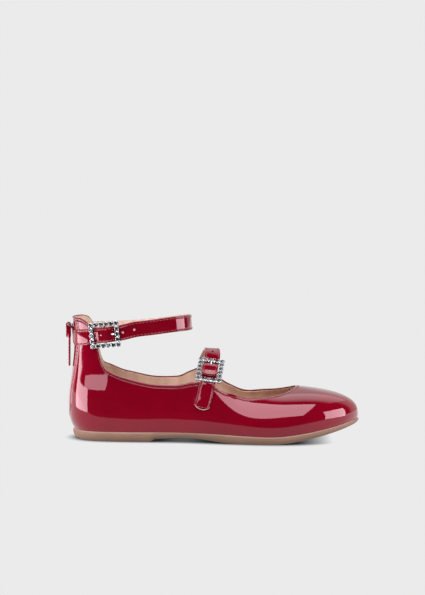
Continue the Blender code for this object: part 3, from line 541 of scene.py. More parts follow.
def buckle_frame(middle, way, side):
    """Matrix of a buckle: its first axis points along the strap, its third out of the shoe."""
    sizes = (SOLE_LENGTH, BALL_WIDTH, COLUMN_HEIGHT)
    along = Vector([share * size for share, size in zip(way, sizes)]).normalized()
    side = Vector([share * size for share, size in zip(side, sizes)])
    across = (side - along * side.dot(along)).normalized()
    out = along.cross(across)
    turn = Matrix((along, across, out)).transposed().to_4x4()
    return Matrix.Translation(Vector(place(middle))) @ turn


def in_buckle(frame, along, out, face=(0.0, 1.0)):
    """Point and direction in a buckle's middle plane, from distances along and out of it."""
    point = frame @ Vector((along, 0.0, out))
    way = frame.to_3x3() @ Vector((face[0], 0.0, face[1]))
    return np.array([*point, *way])


def through(rows):
    """Smooth curve through rows of numbers whose first three are a point, as a function of length."""
    rows = np.asarray(rows, float)
    gaps = np.linalg.norm(np.diff(rows[:, :3], axis=0), axis=1)
    knots = np.concatenate([[0.0], np.cumsum(gaps)])
    system = np.eye(len(rows))
    target = np.zeros_like(rows)
    for i in range(1, len(rows) - 1):
        system[i, i - 1:i + 2] = gaps[i - 1], 2 * (gaps[i - 1] + gaps[i]), gaps[i]
        target[i] = 6 * ((rows[i + 1] - rows[i]) / gaps[i] - (rows[i] - rows[i - 1]) / gaps[i - 1])
    bends = np.linalg.solve(system, target)

    def at(where):
        index = np.clip(np.searchsorted(knots, where, side="right") - 1, 0, len(gaps) - 1)
        gap = gaps[index][:, None]
        part = (np.asarray(where) - knots[index])[:, None] / gap
        rest = 1.0 - part
        curved = (rest**3 - rest) * bends[index] + (part**3 - part) * bends[index + 1]
        return rest * rows[index] + part * rows[index + 1] + curved * gap**2 / 6.0

    return at, knots[-1]


def strip_frame(rows, where):
    """Points, directions across and directions out of a strip at lengths along it."""
    at, _ = through(rows)
    step = 1e-5
    line = at(where)
    way = unit(at(where + step)[:, :3] - at(where - step)[:, :3])
    out = unit(line[:, 3:] - way * (way * line[:, 3:]).sum(1, keepdims=True))
    return line[:, :3], np.cross(out, way), out


def round_end(distance, reach):
    """Share of a strip's width left at a distance from an end that is rounded over a reach."""
    left = 1.0 - np.clip(distance / reach, 0.03, 1.0)
    return np.sqrt(1.0 - left**2)


# Meshes

def mesh_piece(name, points, faces, look, body="shoe", smooth=True, sharp=SHARP_ANGLE):
    """One piece from points and faces, turned outwards, with its material and the body that it rides on."""
    mesh = bpy.data.meshes.new(name)
    mesh.from_pydata(np.asarray(points, float).tolist(), [], [tuple(map(int, face)) for face in faces])
    work = bmesh.new()
    work.from_mesh(mesh)
    bmesh.ops.recalc_face_normals(work, faces=work.faces)
    work.to_mesh(mesh)
    work.free()
    mesh.materials.append(look)
    if smooth:
        mesh.shade_smooth()
        mesh.set_sharp_from_angle(angle=math.radians(sharp))
    made = bpy.data.objects.new(name, mesh)
    bpy.context.scene.collection.objects.link(made)
    if body:
        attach(made, body)
    return made


def quads(rows, columns, start=0, round_rows=False, round_columns=False):
    """Faces over a grid of points, which may close on itself either way."""
    i, j = np.meshgrid(np.arange(rows if round_rows else rows - 1),
                       np.arange(columns if round_columns else columns - 1), indexing="ij")
    i, j = i.ravel(), j.ravel()
    after, beside = (i + 1) % rows, (j + 1) % columns
    corners = [i * columns + j, after * columns + j, after * columns + beside, i * columns + beside]
    return (np.stack(corners, 1) + start).tolist()


def closed_tube(rings, sides):
    """Faces of a tube of rings of points, with a flat face at each end."""
    ends = [list(range(sides)), list(range((rings - 1) * sides, rings * sides))]
    return quads(rings, sides, round_columns=True) + ends


def tube_mesh(points, sides, across_radius, out_radius, out):
    """Points and faces of a rod of oval section along a path, with its directions out."""
    points = np.asarray(points, float)
    way = unit(np.gradient(points, axis=0))
    out = np.broadcast_to(np.asarray(out, float), points.shape)
    out = unit(out - way * (way * out).sum(1, keepdims=True))
    across = np.cross(out, way)
    turns = np.arange(sides) * 2 * math.pi / sides
    across_radius = np.broadcast_to(across_radius, len(points))[:, None, None]
    out_radius = np.broadcast_to(out_radius, len(points))[:, None, None]
    ring = (points[:, None] + across[:, None] * across_radius * np.cos(turns)[None, :, None]
            + out[:, None] * out_radius * np.sin(turns)[None, :, None])
    return ring.reshape(-1, 3), closed_tube(len(points), sides)


def joined(parts):
    """Points and faces of several meshes as one."""
    points, faces, start = [], [], 0
    for new_points, new_faces in parts:
        points.append(np.asarray(new_points, float))
        faces += [[k + start for k in face] for face in new_faces]
        start += len(new_points)
    return np.concatenate(points), faces


def line_lengths(points):
    """Length along a line of points at each of them."""
    return np.concatenate([[0.0], np.cumsum(np.linalg.norm(np.diff(points, axis=0), axis=1))])


def along_line(points, lengths, where):
    """Values of a line's rows at lengths along it."""
    where = np.asarray(where)
    return np.stack([np.interp(where.ravel(), lengths, points[:, k]) for k in range(points.shape[1])],
                    -1).reshape(*where.shape, -1)


# One stitch: share of its length, share of its radius left, and height of its middle in radii
STITCH_SHAPE = [
    (0.00, 0.45, -0.60),
    (0.14, 0.85, 0.40),
    (0.38, 1.00, 0.75),
    (0.62, 1.00, 0.75),
    (0.86, 0.85, 0.40),
    (1.00, 0.45, -0.60),
]
STITCH_SIDES = 6


def stitch_mesh(points, normals, pitch=STITCH_PITCH, length=STITCH_LENGTH, radius=THREAD_RADIUS):
    """Points and faces of a row of stitches along a line on a surface, each with its ends pulled in."""
    points, normals = np.asarray(points, float), unit(np.asarray(normals, float))
    lengths = line_lengths(points)
    count = int(lengths[-1] / pitch)
    start = (lengths[-1] - count * pitch) / 2 + pitch * np.arange(count) + (pitch - length) / 2
    share, size, height = np.array(STITCH_SHAPE).T
    where = start[:, None] + length * share[None, :]
    middle = along_line(points, lengths, where)
    out = unit(along_line(normals, lengths, where))
    ends = along_line(points, lengths, np.stack([start, start + length], 1))
    way = unit(ends[:, 1] - ends[:, 0])[:, None]
    across = unit(np.cross(out, np.broadcast_to(way, out.shape)))
    middle = middle + out * (height * radius)[None, :, None]
    turns = np.arange(STITCH_SIDES) * 2 * math.pi / STITCH_SIDES
    reach = (radius * size)[None, :, None, None]
    ring = (middle[:, :, None] + across[:, :, None] * reach * np.cos(turns)[None, None, :, None]
            + out[:, :, None] * reach * np.sin(turns)[None, None, :, None])
    one, each = closed_tube(len(share), STITCH_SIDES), len(share) * STITCH_SIDES
    faces = [[v + k * each for v in face] for k in range(count) for face in one]
    return ring.reshape(-1, 3), faces


def cut(target, points, faces):
    """Cut a closed shape out of a piece."""
    tool = mesh_piece("cutter", points, faces, target.data.materials[0], None)
    modifier = target.modifiers.new("cut", "BOOLEAN")
    modifier.operation = "DIFFERENCE"
    modifier.solver = "EXACT"
    modifier.object = tool
    bpy.context.view_layer.update()
    whole = target.evaluated_get(bpy.context.evaluated_depsgraph_get())
    shape = bpy.data.meshes.new_from_object(whole)
    target.modifiers.clear()
    target.data = shape
    shape.shade_smooth()
    shape.set_sharp_from_angle(angle=math.radians(SHARP_ANGLE))
    bpy.data.objects.remove(tool)


# Materials

def add_node(tree, kind, inputs=(), **settings):
    """A node with its settings and the values of its inputs."""
    node = tree.nodes.new(kind)
    for name, value in settings.items():
        setattr(node, name, value)
    for socket, value in dict(inputs).items():
        node.inputs[socket].default_value = value
    return node


class Graph:
    """Nodes of one material round its Principled shader."""

    def __init__(self, name, colour, roughness, metallic=0.0, **sockets):
        self.material = bpy.data.materials.new(name)
        self.material.use_nodes = True
        self.tree = self.material.node_tree
        self.shader = self.tree.nodes["Principled BSDF"]
        self.shader.inputs["Base Color"].default_value = (*colour, 1.0)
        self.shader.inputs["Roughness"].default_value = roughness
        self.shader.inputs["Metallic"].default_value = metallic
        for socket, value in sockets.items():
            self.shader.inputs[socket.replace("_", " ")].default_value = value
        self.where = self.add("ShaderNodeTexCoord").outputs["Object"]

    def add(self, kind, inputs=(), **settings):
        return add_node(self.tree, kind, inputs, **settings)

    def link(self, output, target):
        self.tree.links.new(output, target)

    def stretched(self, stretch):
        """The place on the object, scaled along each axis."""
        spread = self.add("ShaderNodeMapping", {"Scale": stretch})
        self.link(self.where, spread.inputs["Vector"])
        return spread.outputs["Vector"]

    def noise(self, scale, detail=3.0, stretch=(1.0, 1.0, 1.0)):
        node = self.add("ShaderNodeTexNoise", {"Scale": scale, "Detail": detail})
        self.link(self.stretched(stretch), node.inputs["Vector"])
        return node.outputs["Fac"]

    def cells(self, scale, stretch=(1.0, 1.0, 1.0)):
        node = self.add("ShaderNodeTexVoronoi", {"Scale": scale})
        self.link(self.stretched(stretch), node.inputs["Vector"])
        return node.outputs["Distance"]

    def wave(self, scale, direction, distortion=0.0):
        node = self.add("ShaderNodeTexWave", {"Scale": scale, "Distortion": distortion}, wave_type="BANDS",
                        bands_direction=direction)
        self.link(self.where, node.inputs["Vector"])
        return node.outputs["Fac"]

    def ramp(self, fac, stops):
        """Colours or greys over a factor, from (place, colour) stops."""
        node = self.add("ShaderNodeValToRGB")
        ramp = node.color_ramp
        while len(ramp.elements) < len(stops):
            ramp.elements.new(0.5)
        for element, (spot, colour) in zip(ramp.elements, stops):
            element.position = spot
            element.color = (*colour, 1.0) if hasattr(colour, "__len__") else (colour, colour, colour, 1.0)
        self.link(fac, node.inputs["Fac"])
        return node.outputs["Color"]

    def range(self, fac, low, high):
        node = self.add("ShaderNodeMapRange", {"To Min": low, "To Max": high})
        self.link(fac, node.inputs["Value"])
        return node.outputs["Result"]

    def attribute(self, name):
        return self.add("ShaderNodeAttribute", attribute_name=name).outputs["Fac"]

    def bump(self, height, distance, strength=1.0, after=None):
        node = self.add("ShaderNodeBump", {"Strength": strength, "Distance": distance})
        self.link(height, node.inputs["Height"])
        if after is not None:
            self.link(after, node.inputs["Normal"])
        return node.outputs["Normal"]

    def colour(self, output):
        self.link(output, self.shader.inputs["Base Color"])

    def roughness(self, output):
        self.link(output, self.shader.inputs["Roughness"])

    def normal(self, output, coat=False):
        self.link(output, self.shader.inputs["Normal"])
        if coat:
            self.link(output, self.shader.inputs["Coat Normal"])


def patent_leather(name="patent_leather", deep=(0.150, 0.0003, 0.0075), light=(0.195, 0.0005, 0.0100)):
    """Red leather under a clear glossy film: faint colour clouds, a slight ripple and fine dust pores."""
    look = Graph(name, light, 0.07, Coat_Weight=1.0, Coat_Roughness=0.018, Coat_IOR=1.5,
                 Specular_IOR_Level=0.40, Specular_Tint=(0.80, 0.06, 0.26, 1.0))
    look.colour(look.ramp(look.noise(26.0, detail=4.0), [(0.30, deep), (0.70, light)]))
    look.roughness(look.range(look.noise(160.0), 0.04, 0.10))
    ripple = look.bump(look.noise(55.0, detail=1.0), distance=0.0003, strength=0.06)
    pores = look.bump(look.noise(900.0, detail=2.0), distance=0.00006, strength=0.06, after=ripple)
    look.normal(pores, coat=True)
    return look.material


def thread_look(name="red_thread", deep=(0.160, 0.010, 0.020), light=(0.520, 0.070, 0.095)):
    """Twisted polyester thread, with painted shade in the grooves between its twists."""
    look = Graph(name, light, 0.38, Coat_Weight=0.3, Coat_Roughness=0.2)
    twist = look.wave(900.0, "DIAGONAL", distortion=1.5)
    # Darker where the twist's relief is low: painted shade in its grooves
    look.colour(look.ramp(twist, [(0.0, deep), (0.6, light)]))
    look.normal(look.bump(twist, distance=0.00008, strength=0.6))
    return look.material


def lining_leather(name, deep, light, streaks=140.0):
    """Matt lining with fine grain, and faint streaks that run up it."""
    look = Graph(name, light, 0.62, Specular_IOR_Level=0.3)
    up_streaks = look.noise(streaks, stretch=(1.0, 1.0, 0.12))
    look.colour(look.ramp(up_streaks, [(0.30, deep), (0.68, light)]))
    look.roughness(look.range(look.noise(90.0), 0.52, 0.72))
    grain = look.bump(look.cells(1500.0), distance=0.00012, strength=0.35)
    look.normal(look.bump(up_streaks, distance=0.0004, strength=0.25, after=grain))
    return look.material


def rubber_look():
    """Moulded rubber, with painted shade that darkens it low down and most on its underside, and a painted
    highlight along its lip.
    """
    look = Graph("tan_rubber", (0.30, 0.19, 0.125), 0.58, Specular_IOR_Level=0.35)
    # Tones by share of height: the dark low stops are painted shade near the floor and under the sole, and the
    # light top stop is a painted highlight on the lip
    base = look.ramp(look.attribute("painted_shade_share"), [
        (0.00, (0.150, 0.078, 0.052)),
        (0.35, (0.220, 0.118, 0.082)),
        (0.80, (0.250, 0.138, 0.100)),
        (0.90, (0.330, 0.205, 0.155)),
    ])
    mix = look.add("ShaderNodeMix", {"Factor": 1.0}, data_type="RGBA", blend_type="MULTIPLY")
    look.link(base, mix.inputs["A"])
    look.link(look.ramp(look.noise(60.0, detail=5.0), [(0.25, 0.86), (0.75, 1.06)]), mix.inputs["B"])
    look.colour(mix.outputs["Result"])
    look.roughness(look.range(look.noise(220.0, detail=4.0), 0.48, 0.70))
    fine = look.bump(look.noise(1400.0, detail=2.0), distance=0.00010, strength=0.35)
    look.normal(look.bump(look.cells(420.0, (0.3, 0.3, 1.0)), distance=0.00012, strength=0.20, after=fine))
    return look.material


def textile_look(name, deep, light):
    """Woven tape: threads across and along as small checks, with painted shade in the gaps between them."""
    look = Graph(name, light, 0.72, Sheen_Weight=0.3)
    both = look.add("ShaderNodeMath", operation="MULTIPLY")
    for k, threads in enumerate((look.wave(520.0, "Z"), look.wave(420.0, "Y"))):
        look.link(threads, both.inputs[k])
    # Darker where the weave's relief is low: painted shade between the threads
    look.colour(look.ramp(both.outputs["Value"], [(0.0, deep), (0.7, light)]))
    look.normal(look.bump(both.outputs["Value"], distance=0.0002, strength=0.7))
    return look.material


def metal_look():
    """Polished silver plating with faint handling marks."""
    look = Graph("silver_metal", (0.66, 0.67, 0.68), 0.16, 1.0)
    look.colour(look.ramp(look.noise(300.0), [(0.3, (0.54, 0.55, 0.56)), (0.7, (0.76, 0.77, 0.78))]))
    look.roughness(look.range(look.noise(700.0, detail=4.0), 0.10, 0.26))
    look.normal(look.bump(look.noise(1200.0), distance=0.00003, strength=0.2))
    return look.material


def stone_look():
    """Cut glass on foil: each facet has its own random tone, from near black to near white, a painted
    reflection and glint that stands in for what the facet mirrors.
    """
    look = Graph("clear_stone", (0.40, 0.50, 0.54), 0.05, 0.55, Coat_Weight=1.0, Coat_Roughness=0.01)
    look.colour(look.ramp(look.attribute("painted_glint"), [
        (0.00, (0.006, 0.012, 0.016)),
        (0.30, (0.025, 0.055, 0.065)),
        (0.50, (0.085, 0.130, 0.145)),
        (0.62, (0.120, 0.090, 0.150)),
        (0.80, (0.240, 0.290, 0.320)),
        (1.00, (0.620, 0.650, 0.680)),
    ]))
    look.roughness(look.range(look.noise(900.0), 0.03, 0.10))
    return look.material


PATENT = patent_leather()
THREAD = thread_look()
# Near-black thread for the topline's seam: painted shade of the needle holes and of the groove it lies in
PAINTED_SHADE_THREAD = thread_look("thread_in_painted_shade", (0.020, 0.0003, 0.001), (0.075, 0.002, 0.006))
LINING = lining_leather("tan_lining_leather", (0.540, 0.345, 0.255), (0.720, 0.500, 0.390))
STRAP_LINING = lining_leather("strap_lining", (0.560, 0.350, 0.290), (0.720, 0.500, 0.430), 220.0)
SOCK = lining_leather("tan_sock", (0.540, 0.350, 0.255), (0.700, 0.490, 0.380), 60.0)
RUBBER = rubber_look()
TAPE = textile_look("red_tape", (0.060, 0.001, 0.004), (0.240, 0.008, 0.022))
COIL = textile_look("red_coil", (0.090, 0.002, 0.006), (0.300, 0.012, 0.028))
METAL = metal_look()
ENAMEL = patent_leather("red_enamel", (0.060, 0.0002, 0.0030), (0.110, 0.0004, 0.0060))
STONE = stone_look()
EDGE = lining_leather("cut_edge", (0.560, 0.420, 0.330), (0.850, 0.700, 0.600), 400.0)


# Upper

# Width over which a dent fades from its own side to the other
DENT_SIDE = 0.006
# Swellings and grooves of the leather: height, and middle and width of each in metres, from the topline
# down and from the zip's seam outwards
TOPLINE_RELIEF = [(0.00016, 0.0008, 0.0007), (-0.00026, SEAM_INSET, 0.00030)]
ZIP_RELIEF = [(-0.00022, 0.0, 0.00042), (0.00014, -0.0012, 0.0010), (-0.00026, 0.0016, 0.00035)]
# Places up each line of the sheet at which its length is measured
LINE_STEPS = 200
# The lining: its start below the patent's face, and the depth, spacing and reach of its puckers
LINING_START = PATENT_LAYER + CLEARANCE / 6
PUCKER_DEPTH = 0.00012
PUCKER_WAVES = 9.0
PUCKER_REACH = 0.006
# The seams: how deep each thread lies, and the share of COLUMN_HEIGHT at which the zip's seam ends
TOPLINE_THREAD_DEPTH = 0.00022
ZIP_THREAD_DEPTH = 0.00020
ZIP_SEAM_TOP = 0.945


def dent_field(points):
    """Depth inwards of the leather's soft troughs and ridges at points on the upper."""
    depth = np.zeros(points.shape[:-1])
    for along, height, side, long_way, wide, lean, deep in DENTS:
        x = points[..., 0] - x_at(along)
        z = points[..., 2] - height * COLUMN_HEIGHT
        turn = math.radians(lean)
        u = x * math.cos(turn) + z * math.sin(turn)
        v = -x * math.sin(turn) + z * math.cos(turn)
        on_side = 0.5 + 0.5 * np.tanh(side * points[..., 1] / DENT_SIDE)
        depth += deep * on_side * np.exp(-(u / long_way) ** 2 - (v / wide) ** 2)
    return depth


def zip_seam_distance(points):
    """Distance on the back from the seam that runs down, round and up about the zip."""
    y, z = points[..., 1], points[..., 2]
    from_middle = np.where(z > ZIP_SEAM_TURN, abs(y), np.hypot(y, z - ZIP_SEAM_TURN))
    return from_middle - ZIP_SEAM + np.where(points[..., 0] > 0.0, 1.0, 0.0)


def waves(distance, rows):
    """Sum of bell curves of a distance, each with its height, middle and width."""
    return sum(height * np.exp(-((distance - middle) / width) ** 2) for height, middle, width in rows)


def seam_relief(points, below_top):
    """Height of the leather over its plain face: folded edges swell, and seams pull in."""
    return waves(below_top, TOPLINE_RELIEF) + waves(zip_seam_distance(points), ZIP_RELIEF)


def heading(base, heads):
    """Sections to move round the ring on the way from each foot to its point on the topline."""
    return (heads - base + TOE_SECTION) % RING_SECTIONS - TOE_SECTION


def sheet(top_gap, slot_gap):
    """Sections, rises and depths below the topline for a sheet round the whole upper, slit at the back."""
    shares, marks = np.array(SHEET_SPACING).T
    half = np.interp(np.linspace(0, 1, SHEET_HALF + 1), shares, marks)
    base = np.concatenate([half, RING_SECTIONS - half[-2::-1]])
    heads, rises = topline_at(base)
    turn = heading(base, heads)
    fine = np.linspace(0, 1, LINE_STEPS)
    lines = upper_face(base[:, None] + turn[:, None] * fine, rises[:, None] * fine)
    lengths = np.concatenate([np.zeros((len(base), 1)),
                              np.cumsum(np.linalg.norm(np.diff(lines, axis=1), axis=2), axis=1)], 1)
    row_shares, reached = np.array(BODY_SPREAD).T
    body = np.interp(np.linspace(0, 1, BODY_ROWS), row_shares, reached)[:-1]
    part = np.empty((len(base), len(body) + len(TOP_ROWS)))
    below = np.empty_like(part)
    for i in range(len(base)):
        whole = lengths[i, -1] - top_gap
        rows = np.concatenate([body * (whole - TOP_ROWS[0]), whole - np.array(TOP_ROWS)])
        part[i] = np.interp(rows, lengths[i], fine)
        below[i] = whole - rows
    across = base[:, None] + turn[:, None] * part
    up = rises[:, None] * part
    height = upper_face(0.0, up[0])[:, 2]
    lift = np.clip((height - ZIP_SLOT_BOTTOM) / (ZIP_SLOT_WIDTH / 2), 0, 1)
    opened = (1 - (1 - lift) ** 3) ** (1 / 3)
    edge = np.where(opened > 0, section_for(ZIP_SLOT_WIDTH / 2 + slot_gap, up[0]), 0.0) * opened
    reach = marks[1]
    near, far = base < reach, base > RING_SECTIONS - reach
    across[near] = edge[None, :] + base[near, None] * (reach - edge[None, :]) / reach
    left = RING_SECTIONS - base[far, None]
    across[far] = RING_SECTIONS - (edge[None, :] + left * (reach - edge[None, :]) / reach)
    return across, up, below, int((edge <= 0).sum())


def shell_piece(name, outer, normals, depth, welded, look):
    """A closed wall from a sheet slit at the back: its outer and inner faces, and a round edge between."""
    rows, columns = outer.shape[:2]
    index = np.arange(rows * columns).reshape(rows, columns)
    index[-1, :welded] = index[0, :welded]
    inner = outer - normals * depth
    faces = []
    for i in range(rows - 1):
        for j in range(columns - 1):
            faces.append((index[i, j], index[i + 1, j], index[i + 1, j + 1], index[i, j + 1]))
    offset = rows * columns
    faces += [tuple(v + offset for v in face) for face in faces]
    points = [outer.reshape(-1, 3), inner.reshape(-1, 3)]
    for i in range(rows - 1):
        faces.append((index[i, 0], index[i + 1, 0], index[i + 1, 0] + offset, index[i, 0] + offset))
    loop = [(i, columns - 1) for i in range(rows)]
    loop += [(rows - 1, j) for j in range(columns - 2, welded - 1, -1)]
    loop += [(0, j) for j in range(welded - 1, columns - 1)]
    places = np.array([outer[i, j] for i, j in loop])
    faces_out = np.array([normals[i, j] for i, j in loop])
    tangent = unit(np.roll(places, -1, 0) - np.roll(places, 1, 0))
    away = unit(np.cross(tangent, faces_out))
    inside = np.array([outer[i, min(j, columns - 3)] for i, j in loop[:rows]])
    if ((places[:rows] - inside) * away[:rows]).sum() < 0:
        away = -away
    radius, steps, start = depth / 2, 5, 2 * offset
    edge_rings = []
    for turn in np.linspace(0, math.pi, steps + 2)[1:-1]:
        edge_rings.append(places + away * radius * math.sin(turn) - faces_out * radius * (1 - math.cos(turn)))
    points += edge_rings
    ids = [[index[i, j] for i, j in loop]]
    ids += [list(range(start + k * len(loop), start + (k + 1) * len(loop))) for k in range(steps)]
    ids.append([index[i, j] + offset for i, j in loop])
    for low, high in zip(ids, ids[1:]):
        for k in range(len(loop)):
            after = (k + 1) % len(loop)
            faces.append((low[k], low[after], high[after], high[k]))
    piece = mesh_piece(name, np.concatenate(points), faces, look, sharp=70)
    loose = bmesh.new()
    loose.from_mesh(piece.data)
    bmesh.ops.delete(loose, geom=[v for v in loose.verts if not v.link_faces], context="VERTS")
    loose.to_mesh(piece.data)
    loose.free()
    return piece


def make_upper():
    """The patent skin and the lining under it, together as thick as the upper's wall."""
    across, up, below, welded = sheet(0.0, 0.0)
    normals = upper_normal(across, up)
    points = upper_face(across, up)
    relief = seam_relief(points, below) - dent_field(points)
    outer = points + normals * relief[..., None]
    # The foot of the skin goes a little further in and down, to meet the sole
    outer[:, 0] -= normals[:, 0] * CLEARANCE
    outer[:, 0, 2] -= 2 * CLEARANCE
    patent = shell_piece("upper_patent", outer, normals, PATENT_LAYER, welded, PATENT)
    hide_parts("upper")
    across, up, below, welded = sheet(LINING_GAP, LINING_GAP)
    normals = upper_normal(across, up)
    face = upper_face(across, up)
    pucker = PUCKER_DEPTH * np.sin(across * PUCKER_WAVES) * np.exp(-(below / PUCKER_REACH) ** 2)
    start = LINING_START + dent_field(face) + pucker
    lining = shell_piece("upper_lining", face - normals * start[..., None], normals, UPPER_WALL - LINING_START,
                         welded, LINING)


def make_upper_seams():
    """Thread along the topline and round the zip."""
    sections = np.concatenate([np.linspace(1.0, 4.0, 160), np.linspace(4.0, 24.0, 700)[1:],
                               np.linspace(24.0, 27.0, 160)[1:]])
    heads, rises = topline_at(sections)
    turn = heading(sections, heads)
    part = np.linspace(0.85, 1, 80)
    lines = upper_face(sections[:, None] + turn[:, None] * part, rises[:, None] * part)
    spots = np.empty(len(sections))
    for i, line in enumerate(lines):
        lengths = line_lengths(line)
        spots[i] = np.interp(lengths[-1] - SEAM_INSET, lengths, part)
    across, up = sections + turn * spots, rises * spots
    points, normals = upper_face(across, up), upper_normal(across, up)
    points = points - normals * (TOPLINE_THREAD_DEPTH + dent_field(points))[:, None]
    keep = ~((abs(points[:, 1]) < ZIP_SEAM) & (points[:, 0] < 0.0))
    # The topline's stitches are drawn near black, as painted shade of their needle holes and groove
    topline = mesh_piece("topline_seam", *stitch_mesh(points[keep], normals[keep]), PAINTED_SHADE_THREAD)
    heights = np.linspace(COLUMN_HEIGHT * ZIP_SEAM_TOP, ZIP_SEAM_TURN, 40)
    line = [(ZIP_SEAM, z) for z in heights]
    line += [(ZIP_SEAM * math.cos(t), ZIP_SEAM_TURN - ZIP_SEAM * math.sin(t))
             for t in np.linspace(0, math.pi, 25)[1:-1]]
    line += [(-ZIP_SEAM, z) for z in heights[::-1]]
    spots = [on_back(y, z) for y, z in line]
    points = np.array([upper_face(s, r) for s, r in spots])
    normals = np.array([upper_normal(s, r) for s, r in spots])
    zip_line = mesh_piece("zip_seam", *stitch_mesh(points - normals * ZIP_THREAD_DEPTH, normals), THREAD)


# Sole

# The tread: pitch of its ribs, their height, how far and how often they waver, and where they lie as
# shares of SOLE_LENGTH
TREAD_PITCH = 0.0042
TREAD_HEIGHT = 0.00055
TREAD_WAVER = 0.0012
TREAD_WAVER_WIDTH = 0.0032
HEEL_TREAD = (0.045, HEEL_BREAST - 0.02)
BALL_TREAD = (0.47, 0.93)
# The groove under the outsole's lip: depth, middle and width as shares of the edge
LIP_GROOVE = (0.00032, 0.81, 0.022)
# Rings of the outsole's side, as shares of the edge from its top down
SOLE_LEVELS = np.concatenate([np.linspace(1.0, 0.90, 5), [0.87, 0.84, 0.82, 0.80, 0.78, 0.75],
                              np.linspace(0.70, 0.0, 13)])
# The sock's edge and border from below: inset in metres, and height as a share of its thickness
SOCK_GROOVE = (0.0038, 0.93)
SOCK_PROFILE = [(0.0, 0.0), (0.0, 0.6), (0.0002, 0.85), (0.0007, 1.0), (0.0030, 1.0), SOCK_GROOVE,
                (0.0046, 1.0), (0.0090, 1.04)]
SOCK_STITCH_PITCH = 0.0032
SOCK_STITCH_LENGTH = 0.0024


def sole_sections(count):
    """Sections for the sole, the same on both sides, with one at each end of the heel breast."""
    half = np.linspace(0, TOE_SECTION, count // 2 + 1)
    along = ring_spline(round_the_ring([row[0] for row in FOOT], [row[0] for row in FOOT]))
    for share in (HEEL_BREAST, HEEL_BREAST + BREAST_LENGTH, BALL_REST_BACK, BALL_REST_FRONT):
        low, high = 0.0, float(TOE_SECTION)
        for _ in range(FINE_HALVINGS):
            middle = (low + high) / 2
            low, high = (middle, high) if along(middle) < share else (low, middle)
        half[np.argmin(abs(half - low))] = low
    return np.concatenate([half, RING_SECTIONS - half[-2:0:-1]])


def fill_ring(ring, first, start, columns, relief=None):
    """Points and faces across a closed ring, whose points count from first; the new ones count from start."""
    count, rows = len(ring), len(ring) // 2 - 1
    shares = np.linspace(0, 1, columns)[1:-1, None]
    middle = np.array([ring[i] + (ring[count - i] - ring[i]) * shares for i in range(1, rows + 1)])
    if relief:
        middle[..., 2] += relief(middle)
    ids = np.empty((rows, columns), int)
    ids[:, 0] = first + np.arange(1, rows + 1)
    ids[:, -1] = first + count - np.arange(1, rows + 1)
    ids[:, 1:-1] = start + np.arange(rows * (columns - 2)).reshape(rows, columns - 2)
    faces = [(ids[i, j], ids[i + 1, j], ids[i + 1, j + 1], ids[i, j + 1])
             for i in range(rows - 1) for j in range(columns - 1)]
    faces += [[first] + list(ids[0]), [first + count // 2] + list(ids[-1][::-1])]
    return middle.reshape(-1, 3), faces


def tread(points):
    """Height of the fine tread over the underside, at points on it."""
    x, y = points[..., 0], points[..., 1]
    along = x / SOLE_LENGTH + HEEL_REST
    wave = np.sin((x + TREAD_WAVER * np.sin(y / TREAD_WAVER_WIDTH)) * 2 * math.pi / TREAD_PITCH)
    ribs = TREAD_HEIGHT * (np.clip(wave * 3.0, -1, 1) + 1) / 2
    on_heel = (along > HEEL_TREAD[0]) & (along < HEEL_TREAD[1])
    on_ball = (along > BALL_TREAD[0]) & (along < BALL_TREAD[1])
    return np.where(on_heel | on_ball, ribs, 0.0)


def make_outsole():
    """The rubber sole with its lip, the groove under it and the tread, shaded by height."""
    sections = sole_sections(380)
    count = len(sections)
    top = foot_at(sections)[:, 2]
    along = np.clip(foot_at(sections)[:, 0] / SOLE_LENGTH + HEEL_REST, 0, 1)
    bottom = np.array([sole_bottom(a) for a in along])
    inset_knots, share_knots = np.array(SOLE_SIDE)[::-1].T
    groove_depth, groove_middle, groove_width = LIP_GROOVE
    rings = []
    for share in SOLE_LEVELS:
        inset = gentle(share_knots, inset_knots, np.array(share))
        groove = groove_depth * math.exp(-((share - groove_middle) / groove_width) ** 2)
        ring = foot_at(sections) + (SOLE_LIP - inset - groove) * outward_at(sections)
        ring[:, 2] = bottom + share * (top - bottom)
        rings.append(ring)
    faces = quads(len(rings), count, round_columns=True)
    start, last = len(rings) * count, (len(rings) - 1) * count
    upper_side, upper_faces = fill_ring(rings[0], 0, start, 9)
    underside, under_faces = fill_ring(rings[-1], last, start + len(upper_side), 72, tread)
    # Share of height at each point, read by the rubber's painted shade and lip highlight: 1 on the top face, 0
    # on the underside
    shares = np.concatenate([np.repeat(SOLE_LEVELS, count), np.ones(len(upper_side)),
                             np.zeros(len(underside))])
    sole = mesh_piece("outsole_rubber", np.concatenate([*rings, upper_side, underside]),
                      faces + upper_faces + under_faces, RUBBER, sharp=45)
    shade = sole.data.attributes.new("painted_shade_share", "FLOAT", "POINT")
    shade.data.foreach_set("value", shares.astype(np.float32))
    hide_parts("outsole")


